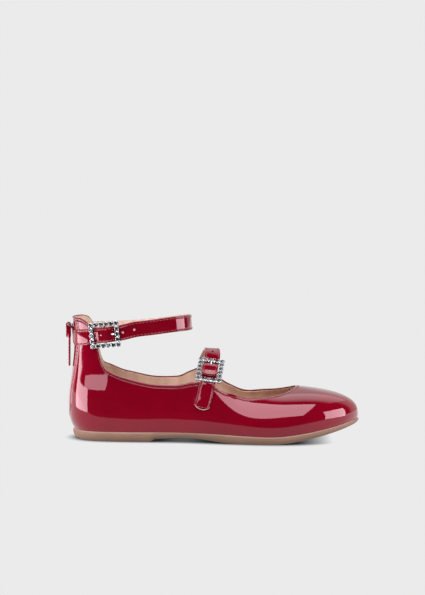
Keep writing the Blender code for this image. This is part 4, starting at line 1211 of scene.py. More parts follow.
def make_insole():
    """The sock: a thin padded sheet with a rounded edge and a stitched border."""
    sections = sole_sections(260)
    count = len(sections)

    def ring_at(inset, level):
        ring = foot_at(sections) - (UPPER_WALL + 3 * CLEARANCE + inset) * outward_at(sections)
        ring[:, 2] += CLEARANCE + level * INSOLE_THICKNESS
        return ring

    rings = [ring_at(inset, level) for inset, level in SOCK_PROFILE]
    start, last = len(rings) * count, (len(rings) - 1) * count
    underside, under_faces = fill_ring(rings[0], 0, start, 5)
    upper_side, upper_faces = fill_ring(rings[-1], last, start + len(underside), 25)
    sock = mesh_piece("insole_sock", np.concatenate([*rings, underside, upper_side]),
                      quads(len(rings), count, round_columns=True) + under_faces + upper_faces, SOCK)
    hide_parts("insole")
    line = ring_at(*SOCK_GROOVE)
    line = np.concatenate([line, line[:1]])
    stitches = stitch_mesh(line, np.broadcast_to(UP, line.shape), SOCK_STITCH_PITCH, SOCK_STITCH_LENGTH)
    thread = mesh_piece("insole_stitches", *stitches, STRAP_LINING)


# Straps and tabs

# A band's section: radius of its upper edges, and places across its face
BAND_EDGE = 0.0006
BAND_COLUMNS = 41
# Relief of a strap's face: height of its crown, then height, distance from the edge and width of the
# thread's channel and of the rim
CROWN = 0.00012
STRAP_RELIEF = [(-0.00016, STRAP_SEAM_INSET, 0.00033), (0.00008, 0.0006, 0.0006)]
# Bends of a band are cut into steps of this many degrees, no two places closer than BAND_GAP
BAND_TURN = 5
BAND_GAP = 0.00012
STRAP_STEP = 0.0011
STRAP_LINING_STEP = 0.0016
TAB_STEP = 0.0008
TAB_EDGE_STEP = 0.0012
# How far the lining and the cut edge stay within the patent, and how far stitches sit off its face
LINING_WIDTH = 0.985
TAB_EDGE_WIDTH = 0.99
STITCH_OFFSET = 0.00002
# The tab: share of its first row cut off the patent, share of it that the stitches leave free, and what
# its tail does behind the bar, in shares of BUCKLE_ALONG and of the fold
TAB_SHORTER = 0.10
TAB_UNSTITCHED = 0.42
TAB_TAIL = [(0.13, 1.15), (0.22, 1.30)]
# The strap: share of BUCKLE_ALONG from the tip to the hole on the prong, and the prong's hole as shares
# of the prong's free part and sizes
HOLE_FROM_TIP = 0.60
PRONG_HOLE = (0.12, 1.10)
PRONG_HOLE_WIDE = 0.75
PRONG_HOLE_HIGH = 0.9
# The lining of the hole next to the tip: heights in shares of STRAP_THICKNESS, and share of HOLE_RADIUS
PLUG = (0.10, 0.70)
PLUG_RADIUS = 0.8


def strap_section(half, low, high, relief):
    """Outline of a band's section: distances across and heights, with rounded edges."""
    edge = min((high - low) * 0.5, BAND_EDGE)
    inner = half - edge
    turns = np.linspace(math.pi, math.pi / 2, 5)[:-1]
    left = [(-inner + edge * math.cos(t), high - edge + edge * math.sin(t)) for t in turns]
    right = [(-x, z) for x, z in reversed(left)]
    top = left + [(y, high) for y in np.linspace(-inner, inner, BAND_COLUMNS)] + right
    under = edge * 0.5
    bottom = [(half, low + under), (half - under, low), (-half + under, low), (-half, low + under)]
    outline = np.array(top + bottom)
    outline[:, 1] += np.where(outline[:, 1] > (low + high) / 2, relief(outline[:, 0], half), 0.0)
    return outline


def plain(across, half):
    """No relief."""
    return 0.0 * across


def crown_and_seams(across, half):
    """Relief of a strap's face: a slight crown, and a channel for the thread near each edge."""
    return CROWN * (1 - (abs(across) / half) ** 2) + waves(half - abs(across), STRAP_RELIEF)


def strap_stations(rows, ends, step):
    """Lengths along a strap, close together at its ends and where it bends."""
    at, length = through(rows)
    fine = np.linspace(0, length, 2400)
    line = at(fine)[:, :3]
    way = unit(np.gradient(line, axis=0))
    steps = np.linalg.norm(np.diff(line, axis=0), axis=1)
    turns = np.arccos(np.clip((way[1:] * way[:-1]).sum(1), -1, 1))
    effort = np.concatenate([[0.0], np.cumsum(steps / step + turns / math.radians(BAND_TURN))])
    where = np.interp(np.linspace(0, effort[-1], int(effort[-1]) + 1), effort, fine)
    turn = 1 - np.cos(np.linspace(0, math.pi / 2, 9))
    where = np.concatenate([where, ends[0] * turn, length - ends[1] * turn])
    where = np.unique(np.round(np.clip(where, 0, length), 6))
    keep = np.concatenate([[True], np.diff(where) > BAND_GAP])
    keep[-1] = True
    return where[keep], length


def band(name, rows, ends, low, high, width, relief, look, step):
    """A band that follows rows of points and outward directions, between two heights above them."""
    where, length = strap_stations(rows, ends, step)
    points, across, out = strip_frame(rows, where)
    narrow = round_end(where, ends[0]) * round_end(length - where, ends[1])
    outline = strap_section(width / 2, low, high, relief)
    ring = (points[:, None] + across[:, None] * (outline[None, :, 0] * narrow[:, None])[..., None]
            + out[:, None] * outline[None, :, 1, None])
    return mesh_piece(name, ring.reshape(-1, 3), closed_tube(len(where), len(outline)), look)


def seam_lines(rows, ends, height, first, last):
    """Lines for the thread along both edges of a band, joined round its rounded end."""
    _, length = through(rows)
    where = np.linspace(first, length - last, 240)
    points, across, out = strip_frame(rows, where)
    narrow = round_end(where, ends[0]) * round_end(length - where, ends[1])
    side = np.maximum(STRAP_WIDTH / 2 * narrow - STRAP_SEAM_INSET, 0.0)
    up = points + out * height
    left, right = up - across * side[:, None], up + across * side[:, None]
    return np.concatenate([left[::-1], right]), np.concatenate([out[::-1], out])


def prong_line():
    """Middle line of a prong in its buckle's axes: round the bar, then out over the far side."""
    curl = BAR_RADIUS + PRONG_THICKNESS / 2 + CLEARANCE / 3
    turn = np.radians(np.arange(-60, -271, -30))
    line = [(curl * math.cos(a), 0.0, -BAR_DROP + curl * math.sin(a)) for a in turn]
    tip = (BUCKLE_ALONG / 2 - CUP_RADIUS * 0.9, 0.0, CUP_HEIGHT + PRONG_THICKNESS / 2 + CLEARANCE)
    start = np.array(line[-1])
    return np.array(line + [tuple(start + (np.array(tip) - start) * share) for share in (0.2, 0.6, 1.0)])


def tab_rows(root, frame):
    """Rows of a tab: on the upper, under the frame's near side, round the bar and back a little."""
    rows = [on_upper(row, OVERLAY_GAP) for row in root]
    for along, out, face, up in TAB_THREAD:
        rows.append(in_buckle(frame, along * BUCKLE_ALONG, out * TAB_THICKNESS, (face, up)))
    fold = BAR_RADIUS + CLEARANCE / 2
    for turn in np.radians([90, 45, 0, -45, -90]):
        way = (math.cos(turn), math.sin(turn))
        rows.append(in_buckle(frame, fold * way[0], fold * way[1] - BAR_DROP, way))
    for along, under in TAB_TAIL:
        rows.append(in_buckle(frame, -BUCKLE_ALONG * along, -BAR_DROP - fold * under, (0.0, -1.0)))
    return rows


def make_tab(name, root, frame):
    """A tab with its patent face, its cut edge, its slot for the prong and its stitches."""
    rows = tab_rows(root, frame)
    ends = (TAB_END_ROUND, STRAP_END_ROUND)
    face_rows = [np.array(rows[0]) * (1 - TAB_SHORTER) + np.array(rows[1]) * TAB_SHORTER] + rows[1:]
    face = band(name + "_patent", face_rows, ends, BACKING, TAB_THICKNESS, STRAP_WIDTH, crown_and_seams, PATENT,
                TAB_STEP)
    edge = band(name + "_edge", rows, ends, 0.0, BACKING, STRAP_WIDTH * TAB_EDGE_WIDTH, plain, EDGE,
                TAB_EDGE_STEP)
    reach = BAR_RADIUS + TAB_THICKNESS + 2 * CLEARANCE
    corners = []
    for x in (-reach, reach):
        for y, z in ((-1, -1), (1, -1), (1, 1), (-1, 1)):
            corners.append(tuple(frame @ Vector((x, y * PRONG_SLOT_WIDTH / 2, z * reach * 1.4 - BAR_DROP))))
    faces = [(0, 1, 2, 3), (4, 5, 6, 7)] + [(i, (i + 1) % 4, (i + 1) % 4 + 4, i + 4) for i in range(4)]
    cut(face, corners, faces)
    cut(edge, corners, faces)
    _, length = through(rows)
    line, out = seam_lines(rows, ends, TAB_THICKNESS + STITCH_OFFSET, STRAP_SEAM_INSET + 0.0004,
                           length * TAB_UNSTITCHED)
    thread = mesh_piece(name + "_stitches", *stitch_mesh(line, out), THREAD)
    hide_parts(name)


def make_strap(name, root, loop, middle, frame):
    """A strap with its lining, its holes and its stitches."""
    rows = [on_upper(row, OVERLAY_GAP) for row in root]
    rows += [facing_from(middle, row) for row in loop]
    for along, out in STRAP_THREAD:
        rows.append(in_buckle(frame, along * BUCKLE_ALONG, out * STRAP_THICKNESS))
    ends = (TAB_END_ROUND, STRAP_END_ROUND)
    face = band(name + "_patent", rows, ends, BACKING, STRAP_THICKNESS, STRAP_WIDTH, crown_and_seams, PATENT,
                STRAP_STEP)
    lining = band(name + "_lining", rows, ends, 0.0, BACKING, STRAP_WIDTH * LINING_WIDTH, plain, STRAP_LINING,
                  STRAP_LINING_STEP)
    prong = prong_line()
    low, high = prong[-3], prong[-1]
    ends_of_cut = [frame @ Vector(low + (high - low) * share) for share in PRONG_HOLE]
    way_out = np.array(frame.to_3x3() @ Vector((0.0, 0.0, 1.0)))
    slot = tube_mesh(ends_of_cut, 12, PRONG_WIDTH * PRONG_HOLE_WIDE, PRONG_THICKNESS * PRONG_HOLE_HIGH, way_out)
    _, length = through(rows)
    on_prong = length - BUCKLE_ALONG * HOLE_FROM_TIP
    spots = np.array([on_prong + HOLE_PITCH, on_prong - HOLE_PITCH, on_prong - 2 * HOLE_PITCH])
    points, across, out = strip_frame(rows, spots)
    for piece in (face, lining):
        cut(piece, *slot)
        for point, side, way in zip(points, across, out):
            line = [point - way * STRAP_THICKNESS, point + way * 2 * STRAP_THICKNESS]
            cut(piece, *tube_mesh(line, 20, HOLE_RADIUS, HOLE_RADIUS, side))
    plug = [points[0] + out[0] * STRAP_THICKNESS * share for share in PLUG]
    radius = HOLE_RADIUS * PLUG_RADIUS
    backed = mesh_piece(name + "_hole_lining", *tube_mesh(plug, 20, radius, radius, across[0]), EDGE)
    line, normal = seam_lines(rows, ends, STRAP_THICKNESS - STITCH_OFFSET, STRAP_SEAM_INSET, STRAP_END_ROUND)
    thread = mesh_piece(name + "_stitches", *stitch_mesh(line, normal), THREAD)
    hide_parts(name)


# Buckles

# Random draws of each buckle's stones, and the mean and spread of their facets' tones, which are painted
# glints: a dark or bright tone on each facet as painted reflection
ANKLE_SEED = 7
INSTEP_SEED = 11
PAINTED_GLINT_DRAW = (0.52, 0.30)
# The rail: radius of its corners, its sides, and how square its section is (1 is an oval)
RAIL_BEND = 0.0012
RAIL_SIDES = 12
RAIL_SQUARE = 0.7
# Profiles from below of a stone's cup and of one claw's bead: radius and height
CUP_PROFILE = [
    (CUP_RADIUS * 0.55, -0.0006),
    (CUP_RADIUS * 0.80, -0.0004),
    (CUP_RADIUS * 0.90, 0.0004),
    (CUP_RADIUS * 0.86, 0.0008),
    (CUP_RADIUS * 0.97, CUP_HEIGHT - 0.0001),
    (CUP_RADIUS * 0.94, CUP_HEIGHT + 0.00015),
    (STONE_RADIUS * 0.96, CUP_HEIGHT + 0.0002),
    (STONE_RADIUS * 0.93, CUP_HEIGHT - 0.0001),
]
BEAD_PROFILE = [
    (0.00012, CUP_HEIGHT - 0.0007),
    (0.00042, CUP_HEIGHT - 0.0005),
    (0.00044, CUP_HEIGHT + 0.0003),
    (0.00034, CUP_HEIGHT + 0.00058),
    (0.00014, CUP_HEIGHT + 0.00070),
]
BEAD_OUT = 0.93
# The prong's width along it: share of its length, and share of PRONG_WIDTH
PRONG_TAPER = [(0.00, 1.00), (0.35, 0.85), (0.90, 1.00), (1.00, 0.75)]
# A stone's rings, in shares of STONE_RADIUS and STONE_HEIGHT: girdle, star and table
GIRDLE_HEIGHT = 0.35
STAR_RADIUS, STAR_HEIGHT = 0.80, 0.76
TABLE_RADIUS = 0.55


def stone_spots():
    """Middles of the stones round a buckle's frame."""
    along = np.linspace(-BUCKLE_ALONG / 2, BUCKLE_ALONG / 2, STONES_ALONG)
    across = np.linspace(-BUCKLE_ACROSS / 2, BUCKLE_ACROSS / 2, STONES_ACROSS)
    rows = [(x, y) for y in (across[0], across[-1]) for x in along]
    return rows + [(x, y) for x in (along[0], along[-1]) for y in across[1:-1]]


def turned(profile, sides, middle):
    """Points and faces of a profile of (radius, height) turned round an upright axis, with flat ends."""
    turns = np.arange(sides) * 2 * math.pi / sides
    points = [(middle[0] + radius * math.cos(t), middle[1] + radius * math.sin(t), height)
              for radius, height in profile for t in turns]
    return np.array(points), closed_tube(len(profile), sides)


def rounded_rail(corner_x, corner_y):
    """The frame's bent rail: a rounded section carried round a rectangle with rounded corners."""
    path = []
    for sx, sy, start in ((1, 1, 0), (-1, 1, 90), (-1, -1, 180), (1, -1, 270)):
        for turn in np.radians(start + np.linspace(0, 90, 6)):
            path.append((sx * (corner_x - RAIL_BEND) + RAIL_BEND * math.cos(turn),
                         sy * (corner_y - RAIL_BEND) + RAIL_BEND * math.sin(turn)))
    path = np.array(path)
    way = unit(np.roll(path, -1, 0) - np.roll(path, 1, 0))
    side = np.stack([way[:, 1], -way[:, 0]], 1)
    turns = np.arange(RAIL_SIDES) * 2 * math.pi / RAIL_SIDES
    circle = np.stack([np.cos(turns), np.sin(turns)], 1)
    outline = np.sign(circle) * abs(circle) ** RAIL_SQUARE * (RAIL_WIDTH / 2, RAIL_THICKNESS / 2)
    ring = np.empty((len(path), RAIL_SIDES, 3))
    ring[..., :2] = path[:, None] + side[:, None] * outline[None, :, :1]
    ring[..., 2] = outline[None, :, 1]
    return ring.reshape(-1, 3), quads(len(path), RAIL_SIDES, round_rows=True, round_columns=True)


def buckle_metal():
    """Rails, bar, stone cups with their beaded claws, in the buckle's own axes."""
    parts = [rounded_rail(BUCKLE_ALONG / 2, BUCKLE_ACROSS / 2)]
    reach = BUCKLE_ACROSS / 2 + RAIL_WIDTH / 4
    line = [(0.0, -reach, -BAR_DROP * 0.4), (0.0, -reach * 0.8, -BAR_DROP), (0.0, reach * 0.8, -BAR_DROP),
            (0.0, reach, -BAR_DROP * 0.4)]
    at, length = through([(*p, 0.0) for p in line])
    parts.append(tube_mesh(at(np.linspace(0, length, 24))[:, :3], 14, BAR_RADIUS, BAR_RADIUS, (1.0, 0.0, 0.0)))
    for spot in stone_spots():
        parts.append(turned(CUP_PROFILE, 20, spot))
        for turn in np.radians((45, 135, 225, 315)):
            reach = CUP_RADIUS * BEAD_OUT
            middle = (spot[0] + reach * math.cos(turn), spot[1] + reach * math.sin(turn))
            parts.append(turned(BEAD_PROFILE, 8, middle))
    return joined(parts)


def gem(middle):
    """A brilliant-cut stone: table, eight kites and sixteen girdle facets."""
    x, y = middle

    def ring(radius, height, count, shift):
        turns = (np.arange(count) + shift) * 2 * math.pi / count
        return [(x + radius * math.cos(t), y + radius * math.sin(t), CUP_HEIGHT + height) for t in turns]

    points = ring(STONE_RADIUS * 0.9, -0.0003, 16, 0)
    points += ring(STONE_RADIUS, STONE_HEIGHT * GIRDLE_HEIGHT, 16, 0)
    points += ring(STONE_RADIUS * STAR_RADIUS, STONE_HEIGHT * STAR_HEIGHT, 8, 0.5)
    points += ring(STONE_RADIUS * TABLE_RADIUS, STONE_HEIGHT, 8, 0)
    faces = [[i, (i + 1) % 16, 16 + (i + 1) % 16, 16 + i] for i in range(16)] + [list(range(16))]
    for k in range(8):
        low, star, after = 16 + 2 * k, 32 + k, 32 + (k + 1) % 8
        top, top_after = 40 + k, 40 + (k + 1) % 8
        faces += [[low, low + 1, star], [low + 1, 16 + (2 * k + 2) % 16, star]]
        faces += [[16 + (2 * k + 2) % 16, after, top_after, star], [star, top_after, top]]
    faces.append(list(range(40, 48)))
    return points, faces


def make_buckle(name, frame, seed):
    """A buckle's metal, its prong and its stones."""
    body = mesh_piece(name + "_buckle_metal", *buckle_metal(), METAL)
    body.data.transform(frame)
    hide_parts(name + "_buckle")
    at, length = through([(*p, 0.0, 0.0, 0.0) for p in prong_line()])
    where = np.linspace(0, length, 60)
    line = at(where)[:, :3]
    shares, widths = np.array(PRONG_TAPER).T
    flat = np.interp(where, shares * length, widths)
    prong_points, prong_faces = tube_mesh(line, 14, PRONG_WIDTH / 2 * flat, PRONG_THICKNESS / 2,
                                          np.cross(unit(np.gradient(line, axis=0)), (0.0, 1.0, 0.0)))
    prong = mesh_piece(name + "_prong_metal", prong_points, prong_faces, METAL)
    prong.data.transform(frame)
    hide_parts(name + "_prong")
    spots = stone_spots()
    stones = mesh_piece(name + "_stones", *joined([gem(spot) for spot in spots]), STONE, smooth=False)
    # Each facet gets a random painted glint: a dark or bright tone that stands in for its reflection
    draw = np.random.default_rng(seed)
    painted_glints = np.clip(draw.normal(*PAINTED_GLINT_DRAW, len(stones.data.polygons)), 0, 1)
    painted_glint = stones.data.attributes.new("painted_glint", "FLOAT", "FACE")
    painted_glint.data.foreach_set("value", painted_glints.astype(np.float32))
    stones.data.transform(frame)
    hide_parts(*[f"{name}_stone_{i + 1:02d}" for i in range(len(spots))])


# Zip

# The coils: pitch of one side's coils, how far each reaches over the middle and short of the edge, and its
# thickness along it as shares of COIL_RADIUS, with how much deeper than wide it is
COIL_PITCH = 0.0011
COIL_OVER = 0.0006
COIL_SHORT = 0.0003
COIL_RADIUS = COIL_PITCH * 0.36
COIL_BULGE = np.array((0.6, 1.0, 1.0, 0.85, 0.85, 0.9, 0.6))
COIL_DEEPER = 1.2
# The cord along each edge of the coils: inset, depth below their middle, and radius
CORD_INSET = 0.0004
CORD_DEPTH = 0.0001
CORD_RADIUS = 0.00035
# The slider's plate: how square it is (1 is an oval), its width at its foot, and its layers as shares of
# the outline and heights
PLATE_SQUARE = 0.55
PLATE_FOOT = 0.86
PLATE_LAYERS = [(0.90, 0.0), (1.0, 0.0002), (1.0, SLIDER_THICKNESS - 0.0003),
                (0.93, SLIDER_THICKNESS - 0.00005), (0.70, SLIDER_THICKNESS)]
BRIDGE_BEND = 0.0010
# The pull across its width: share of its outline, and share of half its width
PULL_LAYERS = [(0.80, -1.0), (0.96, -0.93), (1.0, -0.80), (1.0, 0.80), (0.96, 0.93), (0.80, 1.0)]
# Its end's corners: cut in across the tail, and up it
PULL_CORNER = (0.0005, 0.0006)
# Its stitches: inset, distance from the loop and from the end, pitch, length and radius
PULL_SEAM_INSET = 0.0008
PULL_SEAM_ENDS = (0.001, 0.0012)
PULL_STITCH = (0.0024, 0.0017, 0.00014)


def back_grid(width, bottom, top, rows, columns):
    """Sections and rises over a strip up the middle of the back."""
    sections, rises = np.zeros((rows, columns)), np.zeros((rows, columns))
    for i, height in enumerate(np.linspace(bottom, top, rows)):
        rise = rise_for(0.0, height)
        for j, across in enumerate(np.linspace(-width / 2, width / 2, columns)):
            sections[i, j] = section_for(across, rise) if abs(across) > 1e-6 else 0.0
            rises[i, j] = rise
    return sections, rises


def slab(name, sections, rises, low, high, look):
    """A thin closed sheet that follows the upper, between two depths below its face."""
    normal = upper_normal(sections, rises)
    layers = [upper_face(sections, rises) - depth * normal for depth in (low, high)]
    rows, columns = sections.shape
    count = rows * columns
    faces = quads(rows, columns) + quads(rows, columns, count)
    edge = [(i, 0) for i in range(rows)] + [(rows - 1, j) for j in range(1, columns)]
    edge += [(i, columns - 1) for i in range(rows - 2, -1, -1)] + [(0, j) for j in range(columns - 2, 0, -1)]
    for here, there in zip(edge, edge[1:] + edge[:1]):
        a, b = here[0] * columns + here[1], there[0] * columns + there[1]
        faces.append((a, b, b + count, a + count))
    return mesh_piece(name, np.concatenate([layer.reshape(-1, 3) for layer in layers]), faces, look)


def make_zip():
    """The zip's tape and its coils with the cord along each edge."""
    depth = ZIP_CHAIN_DEPTH + ZIP_CHAIN_THICKNESS + CLEARANCE
    sections, rises = back_grid(ZIP_TAPE_WIDTH, ZIP_TAPE_BOTTOM, ZIP_TOP, 60, 13)
    tape = slab("zip_tape_cloth", sections, rises, depth, depth + ZIP_TAPE_THICKNESS, TAPE)
    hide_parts("zip_tape")
    parts = []
    heights = np.arange(ZIP_SLOT_BOTTOM + 2 * CLEARANCE + COIL_PITCH, ZIP_TOP - COIL_PITCH, COIL_PITCH / 2)
    middle_depth = ZIP_CHAIN_DEPTH + ZIP_CHAIN_THICKNESS * 0.5
    for k, height in enumerate(heights):
        side = 1 if k % 2 else -1
        rise = rise_for(0.0, height)
        point, normal = upper_face(0.0, rise), upper_normal(0.0, rise)
        reach = np.linspace(-COIL_OVER, ZIP_CHAIN_WIDTH / 2 - COIL_SHORT, len(COIL_BULGE)) * side
        line = point - normal * middle_depth + np.outer(reach, (0.0, 1.0, 0.0))
        bulge = COIL_BULGE * COIL_RADIUS
        parts.append(tube_mesh(line, 8, bulge, bulge * COIL_DEEPER, normal))
    for side in (-1, 1):
        y = side * (ZIP_CHAIN_WIDTH / 2 - CORD_INSET)
        spots = [on_back(y, z) for z in np.linspace(heights[0], heights[-1], 50)]
        cord = [upper_face(s, r) - upper_normal(s, r) * (middle_depth + CORD_DEPTH) for s, r in spots]
        parts.append(tube_mesh(cord, 8, CORD_RADIUS, CORD_RADIUS, (-1.0, 0.0, 0.0)))
    chain = mesh_piece("zip_coil", *joined(parts), COIL)
    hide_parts("zip_chain")


def make_slider():
    """The zip's slider: a shield-shaped plate, and the bridge on which the pull hangs."""
    middle = (SLIDER_BOTTOM + SLIDER_TOP) / 2
    half_height = (SLIDER_TOP - SLIDER_BOTTOM) / 2
    low, mid, high = (upper_face(0.0, rise_for(0.0, z)) for z in (SLIDER_BOTTOM, middle, SLIDER_TOP))
    up_way = unit(high - low)
    out_way = np.cross(up_way, (0.0, 1.0, 0.0))
    centre = mid + out_way * CLEARANCE
    outline = []
    for turn in np.radians(np.arange(0, 360, 10)):
        c, s = math.cos(turn), math.sin(turn)
        y = math.copysign(abs(c) ** PLATE_SQUARE, c) * SLIDER_WIDTH / 2
        z = math.copysign(abs(s) ** PLATE_SQUARE, s) * half_height
        outline.append((y * (PLATE_FOOT + (1 - PLATE_FOOT) * (z / half_height + 1) / 2), z))
    outline = np.array(outline)
    points = [centre + np.array((0.0, y, 0.0)) + up_way * z + out_way * height
              for share, height in PLATE_LAYERS for y, z in outline * share]
    parts = [(points, closed_tube(len(PLATE_LAYERS), len(outline)))]
    root = mid[0] - CLEARANCE - SLIDER_THICKNESS / 2
    pin = x_at(0.0) - PIN_REACH
    side = SLIDER_WIDTH / 2 - RING_RADIUS
    drop = (PIN_HEIGHT - middle) / (root - pin)
    corner = [(pin + BRIDGE_BEND * (1 - math.sin(t)), side - BRIDGE_BEND * (1 - math.cos(t)))
              for t in np.linspace(0, math.pi / 2, 8)]
    flat = [(root, side)] + corner
    flat = flat + [(x, -y) for x, y in reversed(flat)]
    path = [(x, y, middle + (root - x) * drop) for x, y in flat]
    parts.append(tube_mesh(path, 12, RING_RADIUS, RING_RADIUS, (drop, 0.0, 1.0)))
    slider = mesh_piece("zip_slider_metal", *joined(parts), ENAMEL)
    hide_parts("zip_slider")


def make_pull():
    """The leather pull, folded round the slider's bridge, with softened edges and its seam."""
    pin = x_at(0.0) - PIN_REACH
    loop = PULL_LOOP_THICKNESS / 2
    front = loop - CLEARANCE
    back = front - PULL_TAIL_THICKNESS
    corner_in, corner_up = PULL_CORNER
    head = [(loop * math.cos(a), loop * math.sin(a)) for a in np.linspace(0, math.pi, 15)]
    outline = np.array(head + [
        (-loop, -PULL_LOOP_LENGTH * 0.80),
        (-loop + 0.0003, -PULL_LOOP_LENGTH * 0.93),
        (back, -PULL_LOOP_LENGTH),
        (back, -PULL_LENGTH + corner_up),
        (back + corner_in, -PULL_LENGTH),
        (front - corner_in, -PULL_LENGTH),
        (front, -PULL_LENGTH + corner_up),
        (front, -PULL_LOOP_LENGTH),
        (loop, -PULL_LOOP_LENGTH * 0.85),
    ])
    middle_x = np.where(outline[:, 1] > -PULL_LOOP_LENGTH * 0.97, 0.0, (front + back) / 2)
    rings = []
    for share, width in PULL_LAYERS:
        x = middle_x + (outline[:, 0] - middle_x) * share
        z = np.where(outline[:, 1] > 0, outline[:, 1] * share, outline[:, 1])
        z = np.where(z < -PULL_LENGTH * 0.9, z + (1 - share) * 0.002, z)
        rings.append(np.stack([pin + x, np.full(len(x), width * PULL_WIDTH / 2), PIN_HEIGHT + z], 1))
    faces = closed_tube(len(rings), len(outline))
    pull = mesh_piece("zip_pull_leather", np.concatenate(rings), faces, PATENT, "pull", sharp=60)
    radius = RING_RADIUS + CLEARANCE
    eye = [(pin, -PULL_WIDTH, PIN_HEIGHT), (pin, PULL_WIDTH, PIN_HEIGHT)]
    cut(pull, *tube_mesh(eye, 20, radius, radius, (1.0, 0.0, 0.0)))
    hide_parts("zip_pull")
    rows = []
    heights = np.linspace(-PULL_LOOP_LENGTH - PULL_SEAM_ENDS[0], -PULL_LENGTH + PULL_SEAM_ENDS[1], 30)
    for y in (PULL_SEAM_INSET - PULL_WIDTH / 2, PULL_WIDTH / 2 - PULL_SEAM_INSET):
        line = np.array([(pin + back, y, PIN_HEIGHT + z) for z in heights])
        rows.append(stitch_mesh(line, np.broadcast_to((-1.0, 0.0, 0.0), line.shape), *PULL_STITCH))
    thread = mesh_piece("zip_pull_stitches", *joined(rows), THREAD, "pull")


# Studio

PHOTO_HEIGHT = 595
METRES_PER_PIXEL = 0.0007785
CAMERA_DISTANCE = 2.20
CAMERA_ELEVATION = 5.3
CAMERA_ROLL = 0.48
SENSOR = 0.036
AIM = (0.0741, 0.0, 0.1103)

# The floor and the backdrop as the camera sees them: their grey, and the contact shadow's grey, reach and
# openness at its darkest
BACKDROP = 0.83
FLOOR_RADIUS = 6.0
SHADOW_GREY = 0.02
SHADOW_REACH = 0.008
SHADOW_FULL = 0.12
SHADOW_SAMPLES = 16

# Glow of the floor as the shoe mirrors it, at distances in metres: across on the near side, and along.
# Neither is over GLOW_TOP
GLOW_TOP = 2.0
FLOOR_GLOW_ACROSS = [(-0.30, 0.03), (-0.150, 0.05), (-0.138, 0.70), (0.30, 0.80)]
FLOOR_GLOW_ALONG = [(-0.30, 1.50), (-0.04, 1.20), (0.08, 1.00), (0.20, 1.30), (0.45, 1.50)]

# Light of the world as the shoe mirrors it: how far round to the far side it starts and is full, and its
# strength on the near and the far side
WORLD_FROM, WORLD_FULL = 0.25, 0.45
WORLD_NEAR, WORLD_FAR = 0.02, 0.80

# Panels of light: the way to the panel's middle in degrees round from the near side towards the toe
# and above the floor, its half width and half height in degrees, distance in metres, the along and
# height it is seen from, brightness, and roll in degrees
#     round   above  half_w half_h distance along  height glow roll
PANELS = [
    (-66.0, -3.5, 26.0, 13.0, 0.14, -0.030, 0.045, 7.0, 0.0),
    (-38.0, 27.5, 24.0, 16.5, 1.40, 0.000, 0.040, 3.8, 0.0),
    (15.0, 57.0, 20.0, 27.0, 1.40, 0.080, 0.040, 4.5, -12.0),
    (69.5, 10.5, 22.0, 18.5, 0.26, 0.175, 0.037, 6.2, 0.0),
    (180.0, 60.0, 36.0, 18.0, 1.40, 0.080, 0.040, 0.6, 0.0),
]


def stand(name, data):
    """A new object in the scene, turned by a quaternion."""
    made = bpy.data.objects.new(name, data)
    made.rotation_mode = "QUATERNION"
    bpy.context.scene.collection.objects.link(made)
    return made


def facing(way, roll):
    """Turn of a camera or a light that looks along a way, rolled by degrees."""
    return way.to_track_quat("-Z", "Y") @ Matrix.Rotation(math.radians(roll), 3, "Z").to_quaternion()


def direction(round_turn, above):
    """The way at degrees round from the near side towards the toe, and above the floor."""
    turn, lift = math.radians(round_turn), math.radians(above)
    return Vector((math.sin(turn) * math.cos(lift), -math.cos(turn) * math.cos(lift), math.sin(lift)))


def make_camera():
    """The camera at the photo's angle, distance and framing."""
    data = bpy.data.cameras.new("camera")
    data.sensor_width = SENSOR * 1000
    data.lens = 1000 * SENSOR * CAMERA_DISTANCE / (PHOTO_HEIGHT * METRES_PER_PIXEL)
    camera = stand("camera", data)
    back = direction(0.0, CAMERA_ELEVATION)
    camera.location = Vector(AIM) + back * CAMERA_DISTANCE
    camera.rotation_quaternion = facing(-back, CAMERA_ROLL)
    bpy.context.scene.camera = camera


def seen_or_mirrored(tree, seen, mirrored, output):
    """Show the camera one shader, and every other ray another."""
    mix = add_node(tree, "ShaderNodeMixShader")
    is_camera_ray = add_node(tree, "ShaderNodeLightPath").outputs["Is Camera Ray"]
    tree.links.new(is_camera_ray, mix.inputs["Fac"])
    tree.links.new(mirrored.outputs[0], mix.inputs[1])
    tree.links.new(seen.outputs[0], mix.inputs[2])
    tree.links.new(mix.outputs["Shader"], tree.nodes[output].inputs["Surface"])


def place_axes(tree, coordinates):
    """X, Y and Z of a kind of texture coordinates."""
    parts = add_node(tree, "ShaderNodeSeparateXYZ")
    tree.links.new(add_node(tree, "ShaderNodeTexCoord").outputs[coordinates], parts.inputs["Vector"])
    return parts.outputs


def float_curve(tree, value, stops):
    """Straight lines through stops of (value, result), as a share of GLOW_TOP."""
    low, high = stops[0][0], stops[-1][0]
    reach = add_node(tree, "ShaderNodeMapRange", {"From Min": low, "From Max": high})
    tree.links.new(value, reach.inputs["Value"])
    curve = add_node(tree, "ShaderNodeFloatCurve")
    points = curve.mapping.curves[0].points
    while len(points) < len(stops):
        points.new(0.5, 0.5)
    for point, (spot, result) in zip(points, stops):
        point.location = ((spot - low) / (high - low), result / GLOW_TOP)
        point.handle_type = "VECTOR"
    curve.mapping.update()
    tree.links.new(reach.outputs["Result"], curve.inputs["Value"])
    return curve.outputs["Value"]


